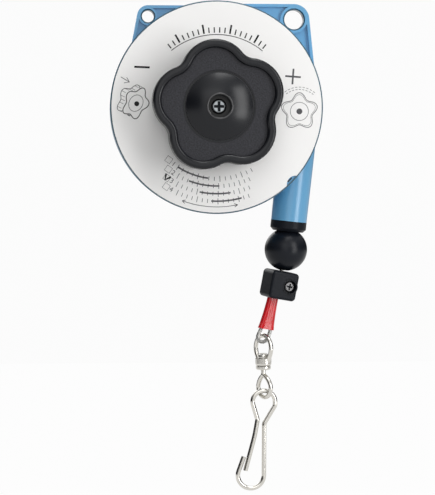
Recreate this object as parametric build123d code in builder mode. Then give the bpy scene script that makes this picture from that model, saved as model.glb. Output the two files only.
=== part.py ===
from build123d import *
from math import acos, atan, ceil, cos, degrees, pi, radians, sin, sqrt, tan

# A spring tool balancer with its rope fully wound in. The origin is the centre
# of the suspension eye, +Z is up and the label faces -Y. Depths are given as
# "front" values, which grow towards the label, so front is minus y.

# Housing
can_radius = 53.5
can_wall = 3.0
can_front = 16.6
can_back = -18.0
back_wall = 3.0
cover_overhang = 0.5
cover_thickness = 3.0
cover_edge_chamfer = 0.5
spigot_depth = 2.0
spigot_width = 2.1
label_thickness = 0.4
label_margin = 0.7
fit_gap = 0.05
face_gap = 0.1
recess_arm_share = 0.28

# Ears
eye_bore_radius = 5.0
eye_ear_radius = 7.9
eye_reach = 7.7
safety_bore_radius = 3.1
safety_ear_radius = 5.6
safety_reach = 4.6
safety_angle = 126.1
safety_edge_lean = 10.7
safety_foot_share = 0.5
ear_edge_overlap = 0.4
ear_thickness = 8.0
ear_pocket_depth = 1.8
ear_rib = 1.5
ear_root = 0.5
ear_rim_chamfer = 0.7

# Rope, drum and nozzle
rope_radius = 1.0
rope_to_can = 9.0
stroke = 1600.0
turn_gap = 0.05
nozzle_tilt = 6.0
nozzle_length = 53.7
nozzle_mouth_radius = 9.2
nozzle_draft = 0.5
nozzle_bore_radius = 7.5
bush_flange_radius = 9.25
bush_flange_height = 5.3
bush_spigot_length = 8.7
ball_radius = 11.0
ball_nesting = 1.5
ball_seat_gap = 0.3
drum_rim_thickness = 3.0
drum_lip_height = 1.8
drum_lip_thickness = 1.5
drum_web_back = -11.5
drum_web_thickness = 2.0
drum_cover_front = 6.1
drum_cover_thickness = 1.5

# Arbor, clutch and knob press
bush_flange_width = 2.0
arbor_radius = 6.0
arbor_front_radius = 5.0
journal_radius = 4.0
clutch_back = 9.6
clutch_thickness = 2.5
clutch_radius = 21.0
ratchet_teeth = 24
tooth_height = 1.5
tooth_inner_radius = 15.0
tooth_length = 5.5
ratchet_ring_radius = 27.0
ratchet_ring_thickness = 3.0
press_travel = 2.5
washer_thickness = 0.95
spring_pocket_depth = 5.5

# Knob
knob_gap = 4.0
knob_height = 17.0
knob_lobes = 5
knob_lobe_radius = 17.0
knob_lobe_distance = 16.5
knob_first_lobe = 97.0
knob_valley_fillet = 8.0
knob_rim_width = 4.3
knob_rim_depth = 2.5
knob_wall = 3.0
knob_dome_radius = 17.0
knob_dome_rise = 5.0
knob_well_radius = 5.8

# Clamp, sleeve and rope loop
clamp_width = 15.0
clamp_depth = 14.0
clamp_height = 14.5
clamp_tilt = 10.5
clamp_turn = 18.0
clamp_corner = 2.0
clamp_screw_offset = 3.2
strand_offset = -2.2
sleeve_length = 16.4
sleeve_wall = 0.45
loop_length = 6.0

# Swivel and snap hook
bow_wire = 1.15
bow_turn = -55.0
hang_gap = 0.3
bow_offset = 0.6
bow_set_back = 0.3
bow_height = 11.9
bow_arch_radius = 5.8
bow_side_radius = 7.6
bow_arc = 60.0
bow_leg = 3.7
collar_radius = 4.2
collar_height = 3.9
stem_radius = 1.2
stem_below_flange = 2.6
head_radius = 2.7
head_height = 2.7
flange_radius = 3.9
flange_height = 1.9
eye_wire = 1.15
eye_turn = -54.0
eye_lean = 7.5
drop_height = 11.65
drop_bottom_radius = 4.85
drop_bottom_arc = 110.0
drop_side_radius = 9.2
drop_side_arc = 42.8
hook_wire = 1.2
gate_clearance = 0.15
hook_shift = 0.2
hook_forward = 0.7
hang_slack = 0.95
hook_arch_radius = 5.8
neck_offset = 3.3
neck_drop = 9.3
neck_lean = 0.296
shoulder_drop = 1.9
shoulder_radius = 1.8
leg_offset = 0.2
waist_drop = 11.2
waist_radius = 4.0
leg_drop = 44.8
tip_offset = 10.4
tip_drop = 28.4
tip_lean = 0.3586
gate_waist_offset = 4.75
gate_waist_drop = 17.5
gate_end_offset = 9.55
gate_end_drop = 35.6
gate_bend_radius = 60.0

# Places that follow from the sizes above
drum_axis_z = eye_ear_radius - can_radius
drum_axis_x = -sqrt((can_radius + eye_reach) ** 2 - drum_axis_z**2)
pitch_radius = can_radius - rope_to_can
cover_front = can_front + cover_thickness
label_front = cover_front + label_thickness
can_inner = can_radius - can_wall
drum_axis = Axis((drum_axis_x, 0, drum_axis_z), (0, -1, 0))


def facing(front):
    """The plane at a depth, on the drum's axis, seen from the label side."""
    return Plane((drum_axis_x, -front, drum_axis_z), x_dir=(1, 0, 0), z_dir=(0, -1, 0))


def half_section():
    """The plane through the drum's axis: X is the radius and Y is front."""
    return Plane((drum_axis_x, 0, drum_axis_z), x_dir=(1, 0, 0), z_dir=(0, 0, 1))


def ring_profile(inner, outer, back, front):
    """A rectangle of a turned part: Y of the half section points to the back."""
    with Locations(((inner + outer) / 2, -(back + front) / 2)):
        Rectangle(outer - inner, front - back)


def on_drum(radius, angle, front):
    """A point at a radius and an angle round the drum's axis."""
    return Vector(
        drum_axis_x + radius * cos(radians(angle)),
        -front,
        drum_axis_z + radius * sin(radians(angle)),
    )


def spot(radius, angle):
    """The same point within a sketch that is drawn on a facing plane."""
    return (radius * cos(radians(angle)), radius * sin(radians(angle)))


# The nozzle's axis is tangent to the wound rope's pitch circle
nozzle_down = Vector(-sin(radians(nozzle_tilt)), 0, -cos(radians(nozzle_tilt)))
tangent_point = on_drum(pitch_radius, -nozzle_tilt, 0)


def on_nozzle(distance):
    """A point on the nozzle's axis, at a distance below the tangent point."""
    return tangent_point + nozzle_down * distance


def across_nozzle(distance):
    """The plane across the nozzle's axis there, facing back up the rope."""
    return Plane(on_nozzle(distance), x_dir=(0, 1, 0), z_dir=-nozzle_down)


bush_end = nozzle_length + bush_flange_height
ball_top = bush_end - ball_nesting
ball_distance = ball_top + ball_radius

# Ears, the suspension eye and the safety eye
safety_x = drum_axis_x + (can_radius + safety_reach) * cos(radians(safety_angle))
safety_z = drum_axis_z + (can_radius + safety_reach) * sin(radians(safety_angle))
eye_edge_lean = 2 * degrees(acos(-drum_axis_x / (can_radius + eye_reach))) - 90 - ear_edge_overlap
eye_foot = drum_axis_z + can_radius * sin(radians(eye_edge_lean))
safety_foot = drum_axis_z + can_radius * safety_foot_share
ears = [
    (0, 0, eye_ear_radius, eye_bore_radius, eye_edge_lean, 1, eye_foot),
    (safety_x, safety_z, safety_ear_radius, safety_bore_radius, safety_edge_lean, -1, safety_foot),
]


def ear_outline(x, z, radius, lean, side, foot):
    """The ear's wedge from the can: a level top, a leaning edge, one round corner."""
    normal_x = side * cos(radians(lean))
    normal_z = sin(radians(lean))

    def edge_x(height):
        return x + (radius - normal_z * (height - z)) / normal_x

    top = z + radius
    with BuildLine() as outline:
        FilletPolyline(
            (drum_axis_x, drum_axis_z),
            (drum_axis_x, top),
            (edge_x(top), top),
            (edge_x(foot), foot),
            radius=[0.0, 0.0, radius, 0.0],
            close=True,
        )
    make_face(outline.edges())


screw_radius = 1.5
screw_boss_radius = 3.2
screw_circle = can_inner - 0.2
screw_angles = [20, 92, 164, 236, 300]
screw_head_radius = 2.75
screw_head_height = 2.0
hub_radius = 12.0
hub_back = can_back - 10.0
bush_wall = 2.5
rear_bush_front = can_back + back_wall - spring_pocket_depth
rear_bush_length = 4.0
spring_pocket_radius = 7.9
journal_end = rear_bush_front - 3.0

with BuildPart() as rear_housing:
    with BuildSketch(facing(can_back)):
        Circle(can_radius)
    extrude(amount=can_front - can_back)
    fillet(rear_housing.edges().filter_by(GeomType.CIRCLE).sort_by(Axis.Y)[-1], 2.0)
    with BuildSketch(facing(hub_back)):
        Circle(hub_radius)
    extrude(amount=can_back - hub_back, taper=-2.0)
    fillet(rear_housing.edges().filter_by(GeomType.CIRCLE).sort_by(Axis.Y)[-1], 1.2)
    for x, z, radius, bore, lean, side, foot in ears:
        with BuildSketch(Plane.XZ.offset(-ear_thickness / 2)):
            ear_outline(x, z, radius, lean, side, foot)
        extrude(amount=ear_thickness)
    with BuildSketch(across_nozzle(nozzle_length)):
        Circle(nozzle_mouth_radius)
    extrude(amount=nozzle_length - 2.0, taper=-nozzle_draft)
    # The webs beside each eye's lug are sunk on both faces
    for x, z, radius, bore, lean, side, foot in ears:
        reach = sqrt((x - drum_axis_x) ** 2 + (z - drum_axis_z) ** 2)
        lug_angle = degrees(acos((x - drum_axis_x) / reach))
        for face in (1, -1):
            pocket_floor = face * (ear_thickness / 2 - ear_pocket_depth)
            with BuildSketch(Plane.XZ.offset(pocket_floor)):
                ear_outline(x, z, radius, lean, side, foot)
                offset(amount=-ear_rib, mode=Mode.REPLACE)
                with Locations((x, z)):
                    Circle(radius - 0.9, mode=Mode.SUBTRACT)
                with Locations(((x + drum_axis_x) / 2, (z + drum_axis_z) / 2)):
                    Rectangle(reach, 2 * bore, rotation=lug_angle, mode=Mode.SUBTRACT)
                with Locations((drum_axis_x, drum_axis_z)):
                    Circle(can_radius + ear_root, mode=Mode.SUBTRACT)
            extrude(amount=face * (ear_pocket_depth + 1), mode=Mode.SUBTRACT)
    for x, z, radius, bore, lean, side, foot in ears:
        with BuildSketch(Plane.XZ.offset(-ear_thickness / 2)):
            with Locations((x, z)):
                Circle(bore)
        extrude(amount=ear_thickness, mode=Mode.SUBTRACT)
        rims = [
            edge
            for edge in rear_housing.edges().filter_by(GeomType.CIRCLE)
            if abs(edge.radius - bore) < 1e-6
        ]
        chamfer(rims, ear_rim_chamfer)
    # The drum's chamber, the nozzle's bore and the hub's pockets
    with BuildSketch(facing(can_back + back_wall)):
        Circle(can_inner)
    extrude(amount=can_front - can_back - back_wall, mode=Mode.SUBTRACT)
    with BuildSketch(across_nozzle(nozzle_length)):
        Circle(nozzle_bore_radius)
    extrude(amount=nozzle_length, mode=Mode.SUBTRACT)
    with BuildSketch(half_section()):
        ring_profile(0, spring_pocket_radius, rear_bush_front, can_back + back_wall)
        ring_profile(0, journal_radius + bush_wall, rear_bush_front - rear_bush_length, rear_bush_front)
        ring_profile(0, journal_radius + 0.6, journal_end - press_travel - 0.3, rear_bush_front)
    revolve(axis=drum_axis, mode=Mode.SUBTRACT)
    # Bosses for the screws that hold the cover
    with BuildSketch(facing(can_back + 1)):
        for angle in screw_angles:
            with Locations(spot(screw_circle, angle)):
                Circle(screw_boss_radius)
        Circle(can_radius - 0.5, mode=Mode.INTERSECT)
    extrude(amount=can_front - can_back - 1)
    with BuildSketch(facing(can_back - 1)):
        for angle in screw_angles:
            with Locations(spot(screw_circle, angle)):
                Circle(screw_radius + fit_gap)
    extrude(amount=can_front - can_back + 2, mode=Mode.SUBTRACT)
rear_housing.part.label = "rear_housing"
export_step(rear_housing.part, "parts/rear_housing.step")

# Front cover with its hub, spigot and the half-round pocket at the rim
cover_hub_radius = 11.0
cover_hub_front = label_front + 1.0
front_bush_radius = arbor_front_radius + 2.5
ratchet_screw_radius = 1.25
ratchet_screw_circle = 24.0
ratchet_screw_angles = [30, 150, 270]
ratchet_screw_depth = 2.0
pocket_radius = 4.4
pocket_circle = can_radius + 2.3
pocket_angle = -44.3
pocket_depth = 1.0


def rim_pocket():
    """The half-round pocket, kept inside the cover's rim line."""
    with Locations(spot(pocket_circle, pocket_angle)):
        Circle(pocket_radius)
    Circle(can_radius + cover_overhang - label_margin, mode=Mode.INTERSECT)


with BuildPart() as front_cover:
    with BuildSketch(facing(can_front)):
        Circle(can_radius + cover_overhang)
    extrude(amount=cover_thickness)
    chamfer(front_cover.edges().filter_by(GeomType.CIRCLE).sort_by(Axis.Y)[0], cover_edge_chamfer)
    with BuildSketch(facing(cover_front)):
        Circle(cover_hub_radius)
    extrude(amount=cover_hub_front - cover_front)
    with BuildSketch(facing(can_front - spigot_depth)):
        Circle(can_inner - face_gap)
        Circle(can_inner - face_gap - spigot_width, mode=Mode.SUBTRACT)
        for angle in screw_angles:
            with Locations(spot(screw_circle, angle)):
                Circle(screw_boss_radius + 3 * face_gap, mode=Mode.SUBTRACT)
    extrude(amount=spigot_depth)
    with BuildSketch(facing(can_front - 1)):
        Circle(front_bush_radius)
    extrude(amount=cover_hub_front - can_front + 2, mode=Mode.SUBTRACT)
    with BuildSketch(facing(can_front)):
        for angle in screw_angles:
            with Locations(spot(screw_circle, angle)):
                Circle(screw_radius + fit_gap)
        for angle in ratchet_screw_angles:
            with Locations(spot(ratchet_screw_circle, angle)):
                Circle(ratchet_screw_radius + fit_gap)
    extrude(amount=ratchet_screw_depth + 0.5, mode=Mode.SUBTRACT)
    with BuildSketch(facing(label_front - pocket_depth)):
        rim_pocket()
    extrude(amount=pocket_depth, mode=Mode.SUBTRACT)
front_cover.part.label = "front_cover"
export_step(front_cover.part, "parts/front_cover.step")

with BuildPart() as face_label:
    with BuildSketch(facing(cover_front)):
        Circle(can_radius + cover_overhang - label_margin)
        Circle(cover_hub_radius + face_gap, mode=Mode.SUBTRACT)
    extrude(amount=label_thickness)
    with BuildSketch(facing(cover_front)):
        rim_pocket()
    extrude(amount=label_thickness, mode=Mode.SUBTRACT)
face_label.part.label = "face_label"
export_step(face_label.part, "parts/face_label.step")


def cross_recess(size):
    """The outline of a cross-shaped driver recess."""
    Rectangle(size, size * recess_arm_share)
    Rectangle(size * recess_arm_share, size)


with BuildPart() as cover_screws:
    for angle in screw_angles:
        place = on_drum(screw_circle, angle, can_back)
        back = Plane(place, x_dir=(1, 0, 0), z_dir=(0, 1, 0))
        with BuildSketch(back):
            Circle(screw_head_radius)
        extrude(amount=screw_head_height, taper=12)
        with BuildSketch(back.offset(screw_head_height * 0.35)):
            cross_recess(1.1 * screw_head_radius)
        extrude(amount=screw_head_height, mode=Mode.SUBTRACT)
        with BuildSketch(back):
            Circle(screw_radius)
        extrude(amount=-(can_front - can_back + ratchet_screw_depth))
cover_screws.part.label = "cover_screws"
export_step(cover_screws.part, "parts/cover_screws.step")

# Face ratchet: the ring's teeth hold the clutch against the spring's pull
tooth_pitch = 2 * pi * tooth_inner_radius / ratchet_teeth
tooth_share = 0.88
tooth_width = tooth_share * tooth_pitch
tooth_gap = 0.15
ring_back = can_front - ratchet_ring_thickness
clutch_front = clutch_back + clutch_thickness


def tooth_planes():
    """Planes across the teeth: X runs clockwise round the drum's axis, Y to the back."""
    planes = []
    for tooth in range(ratchet_teeth):
        angle = 360 / ratchet_teeth * tooth
        turn = radians(angle)
        planes.append(
            Plane(
                on_drum(tooth_inner_radius, angle, 0),
                x_dir=(sin(turn), 0, -cos(turn)),
                z_dir=(cos(turn), 0, sin(turn)),
            )
        )
    return planes


with BuildPart() as ratchet_ring:
    with BuildSketch(half_section()):
        ring_profile(tooth_inner_radius - 1.8, ratchet_ring_radius, ring_back, can_front)
    revolve(axis=drum_axis)
    with BuildSketch(facing(ring_back)):
        for angle in ratchet_screw_angles:
            with Locations(spot(ratchet_screw_circle, angle)):
                Circle(ratchet_screw_radius + fit_gap)
    extrude(amount=ratchet_ring_thickness, mode=Mode.SUBTRACT)
    with BuildSketch(*tooth_planes()):
        with BuildLine():
            Polyline(
                (0, -ring_back - 0.2),
                (0, tooth_height - ring_back),
                (tooth_width, -ring_back),
                (tooth_width, -ring_back - 0.2),
                close=True,
            )
        make_face()
    extrude(amount=tooth_length)
    with BuildSketch(facing(ring_back - 0.01)):
        for angle in ratchet_screw_angles:
            with Locations(spot(ratchet_screw_circle, angle)):
                Circle(2 * ratchet_screw_radius)
    extrude(amount=ratchet_screw_radius, taper=45, mode=Mode.SUBTRACT)
ratchet_ring.part.label = "ratchet_ring"
export_step(ratchet_ring.part, "parts/ratchet_ring.step")

with BuildPart() as ratchet_screws:
    for angle in ratchet_screw_angles:
        place = on_drum(ratchet_screw_circle, angle, ring_back + fit_gap)
        head = Plane(place, x_dir=(1, 0, 0), z_dir=(0, -1, 0))
        with BuildSketch(head):
            Circle(2 * ratchet_screw_radius - 2 * fit_gap)
        extrude(amount=ratchet_screw_radius - fit_gap, taper=45)
        with BuildSketch(head):
            Circle(ratchet_screw_radius)
        extrude(amount=ratchet_ring_thickness + ratchet_screw_depth)
ratchet_screws.part.label = "ratchet_screws"
export_step(ratchet_screws.part, "parts/ratchet_screws.step")

clutch_hub_radius = 9.0
clutch_hub_front = can_front - 1.6
clutch_pin_radius = 1.2
clutch_pin_front = (clutch_front + clutch_hub_front) / 2

with BuildPart() as ratchet_clutch:
    with BuildSketch(half_section()):
        ring_profile(0, clutch_radius, clutch_back, clutch_front)
        ring_profile(0, clutch_hub_radius, clutch_back, clutch_hub_front)
    revolve(axis=drum_axis)
    with BuildSketch(*tooth_planes()):
        with BuildLine():
            Polyline(
                (-tooth_gap, 0.2 - clutch_front),
                (-tooth_gap, 0.1 - clutch_front - tooth_height),
                (-tooth_gap - tooth_width, -clutch_front),
                (-tooth_gap - tooth_width, 0.2 - clutch_front),
                close=True,
            )
        make_face()
    extrude(amount=tooth_length)
    with BuildSketch(facing(clutch_back)):
        Circle(arbor_front_radius + fit_gap)
    extrude(amount=clutch_hub_front - clutch_back, mode=Mode.SUBTRACT)
    with BuildSketch(Plane.XY.offset(drum_axis_z - clutch_radius)):
        with Locations((drum_axis_x, -clutch_pin_front)):
            Circle(clutch_pin_radius + fit_gap)
    extrude(amount=2 * clutch_radius, mode=Mode.SUBTRACT)
ratchet_clutch.part.label = "ratchet_clutch"
export_step(ratchet_clutch.part, "parts/ratchet_clutch.step")

with BuildPart() as clutch_pin:
    with BuildSketch(Plane.XY.offset(drum_axis_z - clutch_hub_radius + 0.2)):
        with Locations((drum_axis_x, -clutch_pin_front)):
            Circle(clutch_pin_radius)
    extrude(amount=2 * clutch_hub_radius - 0.4)
    chamfer(clutch_pin.edges().filter_by(GeomType.CIRCLE), 0.2)
clutch_pin.part.label = "clutch_pin"
export_step(clutch_pin.part, "parts/clutch_pin.step")

# Knob, its screw and the arbor
knob_back = label_front + knob_gap
knob_front = knob_back + knob_height
knob_floor = knob_front - knob_rim_depth
knob_hub_back = cover_hub_front + press_travel + 0.3
knob_hub_radius = 9.0
knob_roof = knob_floor - knob_wall + 0.5
knob_screw_radius = 2.0
knob_screw_head = 3.8
knob_screw_seat = knob_floor - 5.6
knob_screw_head_height = 2.6
knob_web = 2.0
flat_depth = 1.0
arbor_front = knob_screw_seat - knob_web - face_gap
arbor_shoulder = drum_web_back - 1.5
dome_sphere = (knob_dome_radius**2 + knob_dome_rise**2) / (2 * knob_dome_rise)

with BuildPart() as arbor:
    with BuildSketch(half_section()):
        ring_profile(0, arbor_radius, arbor_shoulder, clutch_back)
        ring_profile(0, arbor_front_radius, clutch_back, arbor_front)
        ring_profile(0, journal_radius, journal_end, arbor_shoulder)
    revolve(axis=drum_axis)
    chamfer(arbor.edges().filter_by(GeomType.CIRCLE).sort_by(Axis.Y)[-1], 0.5)
    with BuildSketch(facing(knob_hub_back)):
        with Locations((arbor_front_radius, 0)):
            Rectangle(2 * flat_depth, 2 * arbor_front_radius)
    extrude(amount=arbor_front - knob_hub_back, mode=Mode.SUBTRACT)
    with BuildSketch(Plane.XY.offset(drum_axis_z - arbor_radius)):
        with Locations((drum_axis_x, -clutch_pin_front)):
            Circle(clutch_pin_radius + fit_gap)
    extrude(amount=2 * arbor_radius, mode=Mode.SUBTRACT)
    with BuildSketch(facing(clutch_hub_front + 4)):
        Circle(knob_screw_radius + fit_gap)
    extrude(amount=arbor_front, mode=Mode.SUBTRACT)
arbor.part.label = "arbor"
export_step(arbor.part, "parts/arbor.step")

with BuildSketch() as lobes:
    with PolarLocations(knob_lobe_distance, knob_lobes, start_angle=knob_first_lobe):
        Circle(knob_lobe_radius)
    Circle(knob_lobe_distance)
    fillet(lobes.vertices(), knob_valley_fillet)

with BuildPart() as knob:
    with BuildSketch(facing(knob_back)):
        add(lobes.sketch)
    extrude(amount=knob_height)
    with BuildSketch(facing(knob_floor)):
        add(lobes.sketch)
        offset(amount=-knob_rim_width, mode=Mode.REPLACE)
    extrude(amount=knob_rim_depth, mode=Mode.SUBTRACT)
    rim_edges = knob.faces().sort_by(Axis.Y)[0].edges()
    fillet(rim_edges, 1.7)
    fillet(knob.edges().group_by(Axis.Y)[-1], 1.0)
    with BuildSketch(facing(knob_back)):
        add(lobes.sketch)
        offset(amount=-knob_wall, mode=Mode.REPLACE)
    extrude(amount=knob_roof - knob_back, mode=Mode.SUBTRACT)
    # Hub, ribs and dome
    with BuildSketch(facing(knob_hub_back)):
        Circle(knob_hub_radius)
    extrude(amount=knob_roof - knob_hub_back + 0.5)
    with BuildSketch(facing(knob_back + 3)):
        rib_angle = knob_first_lobe + 180 / knob_lobes
        with PolarLocations(knob_lobe_distance, knob_lobes, start_angle=rib_angle):
            Rectangle(knob_lobe_radius + 2.0, 2.0)
    extrude(amount=knob_roof - knob_back - 2.5)
    with BuildSketch(half_section()):
        with BuildLine():
            Line((0, -knob_floor + 1), (0, -knob_floor - knob_dome_rise))
            RadiusArc(
                (0, -knob_floor - knob_dome_rise), (knob_dome_radius, -knob_floor), -dome_sphere
            )
            Line((knob_dome_radius, -knob_floor), (knob_dome_radius, -knob_floor + 1))
            Line((knob_dome_radius, -knob_floor + 1), (0, -knob_floor + 1))
        make_face()
    revolve(axis=drum_axis)
    # A sharp groove round the dome, the screw's well and its raised lip
    with BuildSketch(half_section()):
        ring_profile(knob_dome_radius, knob_dome_radius + 0.7, knob_floor - 0.5, knob_floor + 0.5)
    revolve(axis=drum_axis, mode=Mode.SUBTRACT)
    with BuildSketch(half_section()):
        ring_profile(knob_well_radius, knob_well_radius + 0.8, knob_floor, knob_floor + knob_dome_rise - 0.2)
    revolve(axis=drum_axis)
    with BuildSketch(facing(knob_screw_seat)):
        Circle(knob_well_radius)
    extrude(amount=knob_height, mode=Mode.SUBTRACT)
    with BuildSketch(facing(knob_hub_back - 1)):
        Circle(knob_screw_radius + 2 * fit_gap)
    extrude(amount=knob_height, mode=Mode.SUBTRACT)
    with BuildSketch(facing(knob_hub_back - 1)):
        Circle(arbor_front_radius + fit_gap)
        with Locations((2 * arbor_front_radius - flat_depth + fit_gap, 0)):
            Rectangle(2 * arbor_front_radius, 3 * arbor_front_radius, mode=Mode.SUBTRACT)
    extrude(amount=arbor_front + face_gap - knob_hub_back + 1, mode=Mode.SUBTRACT)
knob.part.label = "knob"
export_step(knob.part, "parts/knob.step")

with BuildPart() as knob_screw:
    with BuildSketch(facing(knob_screw_seat)):
        Circle(knob_screw_head)
    extrude(amount=knob_screw_head_height)
    fillet(knob_screw.edges().filter_by(GeomType.CIRCLE).sort_by(Axis.Y)[0], 1.2)
    with BuildSketch(facing(knob_screw_seat + knob_screw_head_height / 2)):
        cross_recess(1.35 * knob_screw_head)
    extrude(amount=knob_screw_head_height, mode=Mode.SUBTRACT)
    with BuildSketch(facing(knob_screw_seat)):
        Circle(knob_screw_radius)
    extrude(amount=-(knob_screw_seat - clutch_hub_front - 4.5))
knob_screw.part.label = "knob_screw"
export_step(knob_screw.part, "parts/knob_screw.step")

# Bushes that the arbor turns in, and the spring that returns the pressed knob
with BuildPart() as front_bush:
    with BuildSketch(half_section()):
        front_bush_bore = arbor_front_radius + fit_gap
        front_bush_back = clutch_hub_front + face_gap
        ring_profile(front_bush_bore, front_bush_radius, front_bush_back, cover_hub_front)
        ring_profile(front_bush_bore, front_bush_radius + bush_flange_width, front_bush_back, can_front)
    revolve(axis=drum_axis)
front_bush.part.label = "front_bush"
export_step(front_bush.part, "parts/front_bush.step")

with BuildPart() as rear_bush:
    with BuildSketch(half_section()):
        ring_profile(
            journal_radius + fit_gap,
            journal_radius + bush_wall,
            rear_bush_front - rear_bush_length,
            rear_bush_front,
        )
    revolve(axis=drum_axis)
rear_bush.part.label = "rear_bush"
export_step(rear_bush.part, "parts/rear_bush.step")

with BuildPart() as thrust_washer:
    with BuildSketch(half_section()):
        ring_profile(
            journal_radius + fit_gap,
            spring_pocket_radius - 0.3,
            arbor_shoulder - fit_gap - washer_thickness,
            arbor_shoulder - fit_gap,
        )
    revolve(axis=drum_axis)
thrust_washer.part.label = "thrust_washer"
export_step(thrust_washer.part, "parts/thrust_washer.step")

release_wire = 0.8
release_radius = spring_pocket_radius - 0.9
release_front = arbor_shoulder - fit_gap - washer_thickness - face_gap
release_length = release_front - rear_bush_front - face_gap
release_turns = 2.5
with BuildPart() as release_spring:
    with BuildLine() as coil:
        Helix(
            pitch=(release_length - release_wire) / release_turns,
            height=release_length - release_wire,
            radius=release_radius,
            center=(drum_axis_x, -release_front + release_wire / 2, drum_axis_z),
            direction=(0, 1, 0),
        )
    with BuildSketch(Plane(coil.line @ 0, x_dir=(0, 1, 0), z_dir=coil.line % 0)):
        Rectangle(release_wire, release_wire)
    sweep(path=coil.line, is_frenet=True)
release_spring.part.label = "release_spring"
export_step(release_spring.part, "parts/release_spring.step")

# Drum: the rope lies in its channel and the power spring inside it
turn_pitch = 2 * rope_radius + turn_gap
turns = ceil(stroke / (2 * pi * pitch_radius))
channel_front = turns * turn_pitch / 2
drum_floor = pitch_radius - rope_radius - 0.02
drum_inner = drum_floor - drum_rim_thickness
drum_web_front = drum_web_back + drum_web_thickness
drum_cover_back = drum_cover_front - drum_cover_thickness
lip_gap = 0.15
lip_front = channel_front + lip_gap + drum_lip_thickness
lip_radius = pitch_radius + drum_lip_height
drum_bush_radius = arbor_radius + 2.0
drum_bush_flange = 0.8
drum_bush_bore = arbor_radius + fit_gap
drum_bush_flange_radius = drum_bush_radius + bush_flange_width
drum_boss_radius = 2.3
drum_boss_circle = drum_inner - 2.6
drum_boss_angles = [45, 135, 225, 315]
drum_screw_radius = 1.0
spring_anchor_circle = drum_inner - 3.2
spring_anchor_radius = 1.5
nipple_radius = 1.5
nipple_length = 5.0
nipple_angle = 150.0

with BuildPart() as drum:
    with BuildSketch(half_section()):
        ring_profile(drum_bush_radius, drum_floor, drum_web_back, drum_web_front)
        ring_profile(drum_inner, drum_floor, drum_web_back, lip_front)
        ring_profile(drum_inner, lip_radius, lip_front - drum_lip_thickness, lip_front)
        ring_profile(drum_inner, lip_radius, -lip_front, drum_lip_thickness - lip_front)
    revolve(axis=drum_axis)
    with BuildSketch(facing(drum_web_back)):
        for angle in drum_boss_angles:
            with Locations(spot(drum_boss_circle, angle)):
                Circle(drum_boss_radius)
    extrude(amount=drum_cover_back - drum_web_back)
    with BuildSketch(facing(drum_web_front)):
        for angle in drum_boss_angles:
            with Locations(spot(drum_boss_circle, angle)):
                Circle(drum_screw_radius + fit_gap)
    extrude(amount=drum_cover_back - drum_web_front, mode=Mode.SUBTRACT)
    with BuildSketch(facing(drum_web_back)):
        with Locations((spring_anchor_circle, 0)):
            Circle(spring_anchor_radius + fit_gap)
    extrude(amount=drum_web_thickness, mode=Mode.SUBTRACT)
drum.part.label = "drum"
export_step(drum.part, "parts/drum.step")

with BuildPart() as drum_cover:
    with BuildSketch(facing(drum_cover_back)):
        Circle(drum_inner - face_gap)
        Circle(drum_bush_radius, mode=Mode.SUBTRACT)
        for angle in drum_boss_angles:
            with Locations(spot(drum_boss_circle, angle)):
                Circle(drum_screw_radius + fit_gap, mode=Mode.SUBTRACT)
        with Locations((spring_anchor_circle, 0)):
            Circle(spring_anchor_radius + fit_gap, mode=Mode.SUBTRACT)
    extrude(amount=drum_cover_thickness)
drum_cover.part.label = "drum_cover"
export_step(drum_cover.part, "parts/drum_cover.step")

with BuildPart() as drum_screws:
    for angle in drum_boss_angles:
        head = facing(drum_cover_front)
        with BuildSketch(head):
            with Locations(spot(drum_boss_circle, angle)):
                Circle(2 * drum_screw_radius)
        extrude(amount=drum_screw_radius)
        with BuildSketch(head):
            with Locations(spot(drum_boss_circle, angle)):
                Circle(drum_screw_radius)
        extrude(amount=-(drum_cover_thickness + 6))
drum_screws.part.label = "drum_screws"
export_step(drum_screws.part, "parts/drum_screws.step")

with BuildPart() as drum_front_bush:
    with BuildSketch(half_section()):
        flange_front = drum_cover_front + drum_bush_flange
        ring_profile(drum_bush_bore, drum_bush_radius, drum_cover_back, drum_cover_front)
        ring_profile(drum_bush_bore, drum_bush_flange_radius, drum_cover_front, flange_front)
    revolve(axis=drum_axis)
drum_front_bush.part.label = "drum_front_bush"
export_step(drum_front_bush.part, "parts/drum_front_bush.step")

with BuildPart() as drum_rear_bush:
    with BuildSketch(half_section()):
        flange_back = drum_web_back - drum_bush_flange
        ring_profile(drum_bush_bore, drum_bush_radius, drum_web_back, drum_web_front)
        ring_profile(drum_bush_bore, drum_bush_flange_radius, flange_back, drum_web_back)
    revolve(axis=drum_axis)
drum_rear_bush.part.label = "drum_rear_bush"
export_step(drum_rear_bush.part, "parts/drum_rear_bush.step")

with BuildPart() as spring_anchor:
    with BuildSketch(facing(drum_web_back)):
        with Locations((spring_anchor_circle, 0)):
            Circle(spring_anchor_radius)
    extrude(amount=drum_cover_front - drum_web_back)
spring_anchor.part.label = "spring_anchor"
export_step(spring_anchor.part, "parts/spring_anchor.step")

# The power spring is a flat strip, coiled from the arbor out to its anchor pin
strip_thickness = 0.8
coil_turns = 5
strip_gap = 0.15
coil_start = arbor_radius + strip_gap + strip_thickness / 2
coil_end = spring_anchor_circle - spring_anchor_radius - strip_gap - strip_thickness / 2
coil_step = (coil_end - coil_start) / (2 * coil_turns)


def coil_points(edge):
    """The strip's half turns: each start, middle and end point of its arc."""
    points = []
    for half in range(2 * coil_turns):
        side = 1 if half % 2 == 0 else -1
        centre = 0 if half % 2 == 0 else coil_step
        radius = coil_start + half * coil_step + edge
        points.append(
            ((centre + side * radius, 0), (centre, side * radius), (centre - side * radius, 0))
        )
    return points


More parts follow.
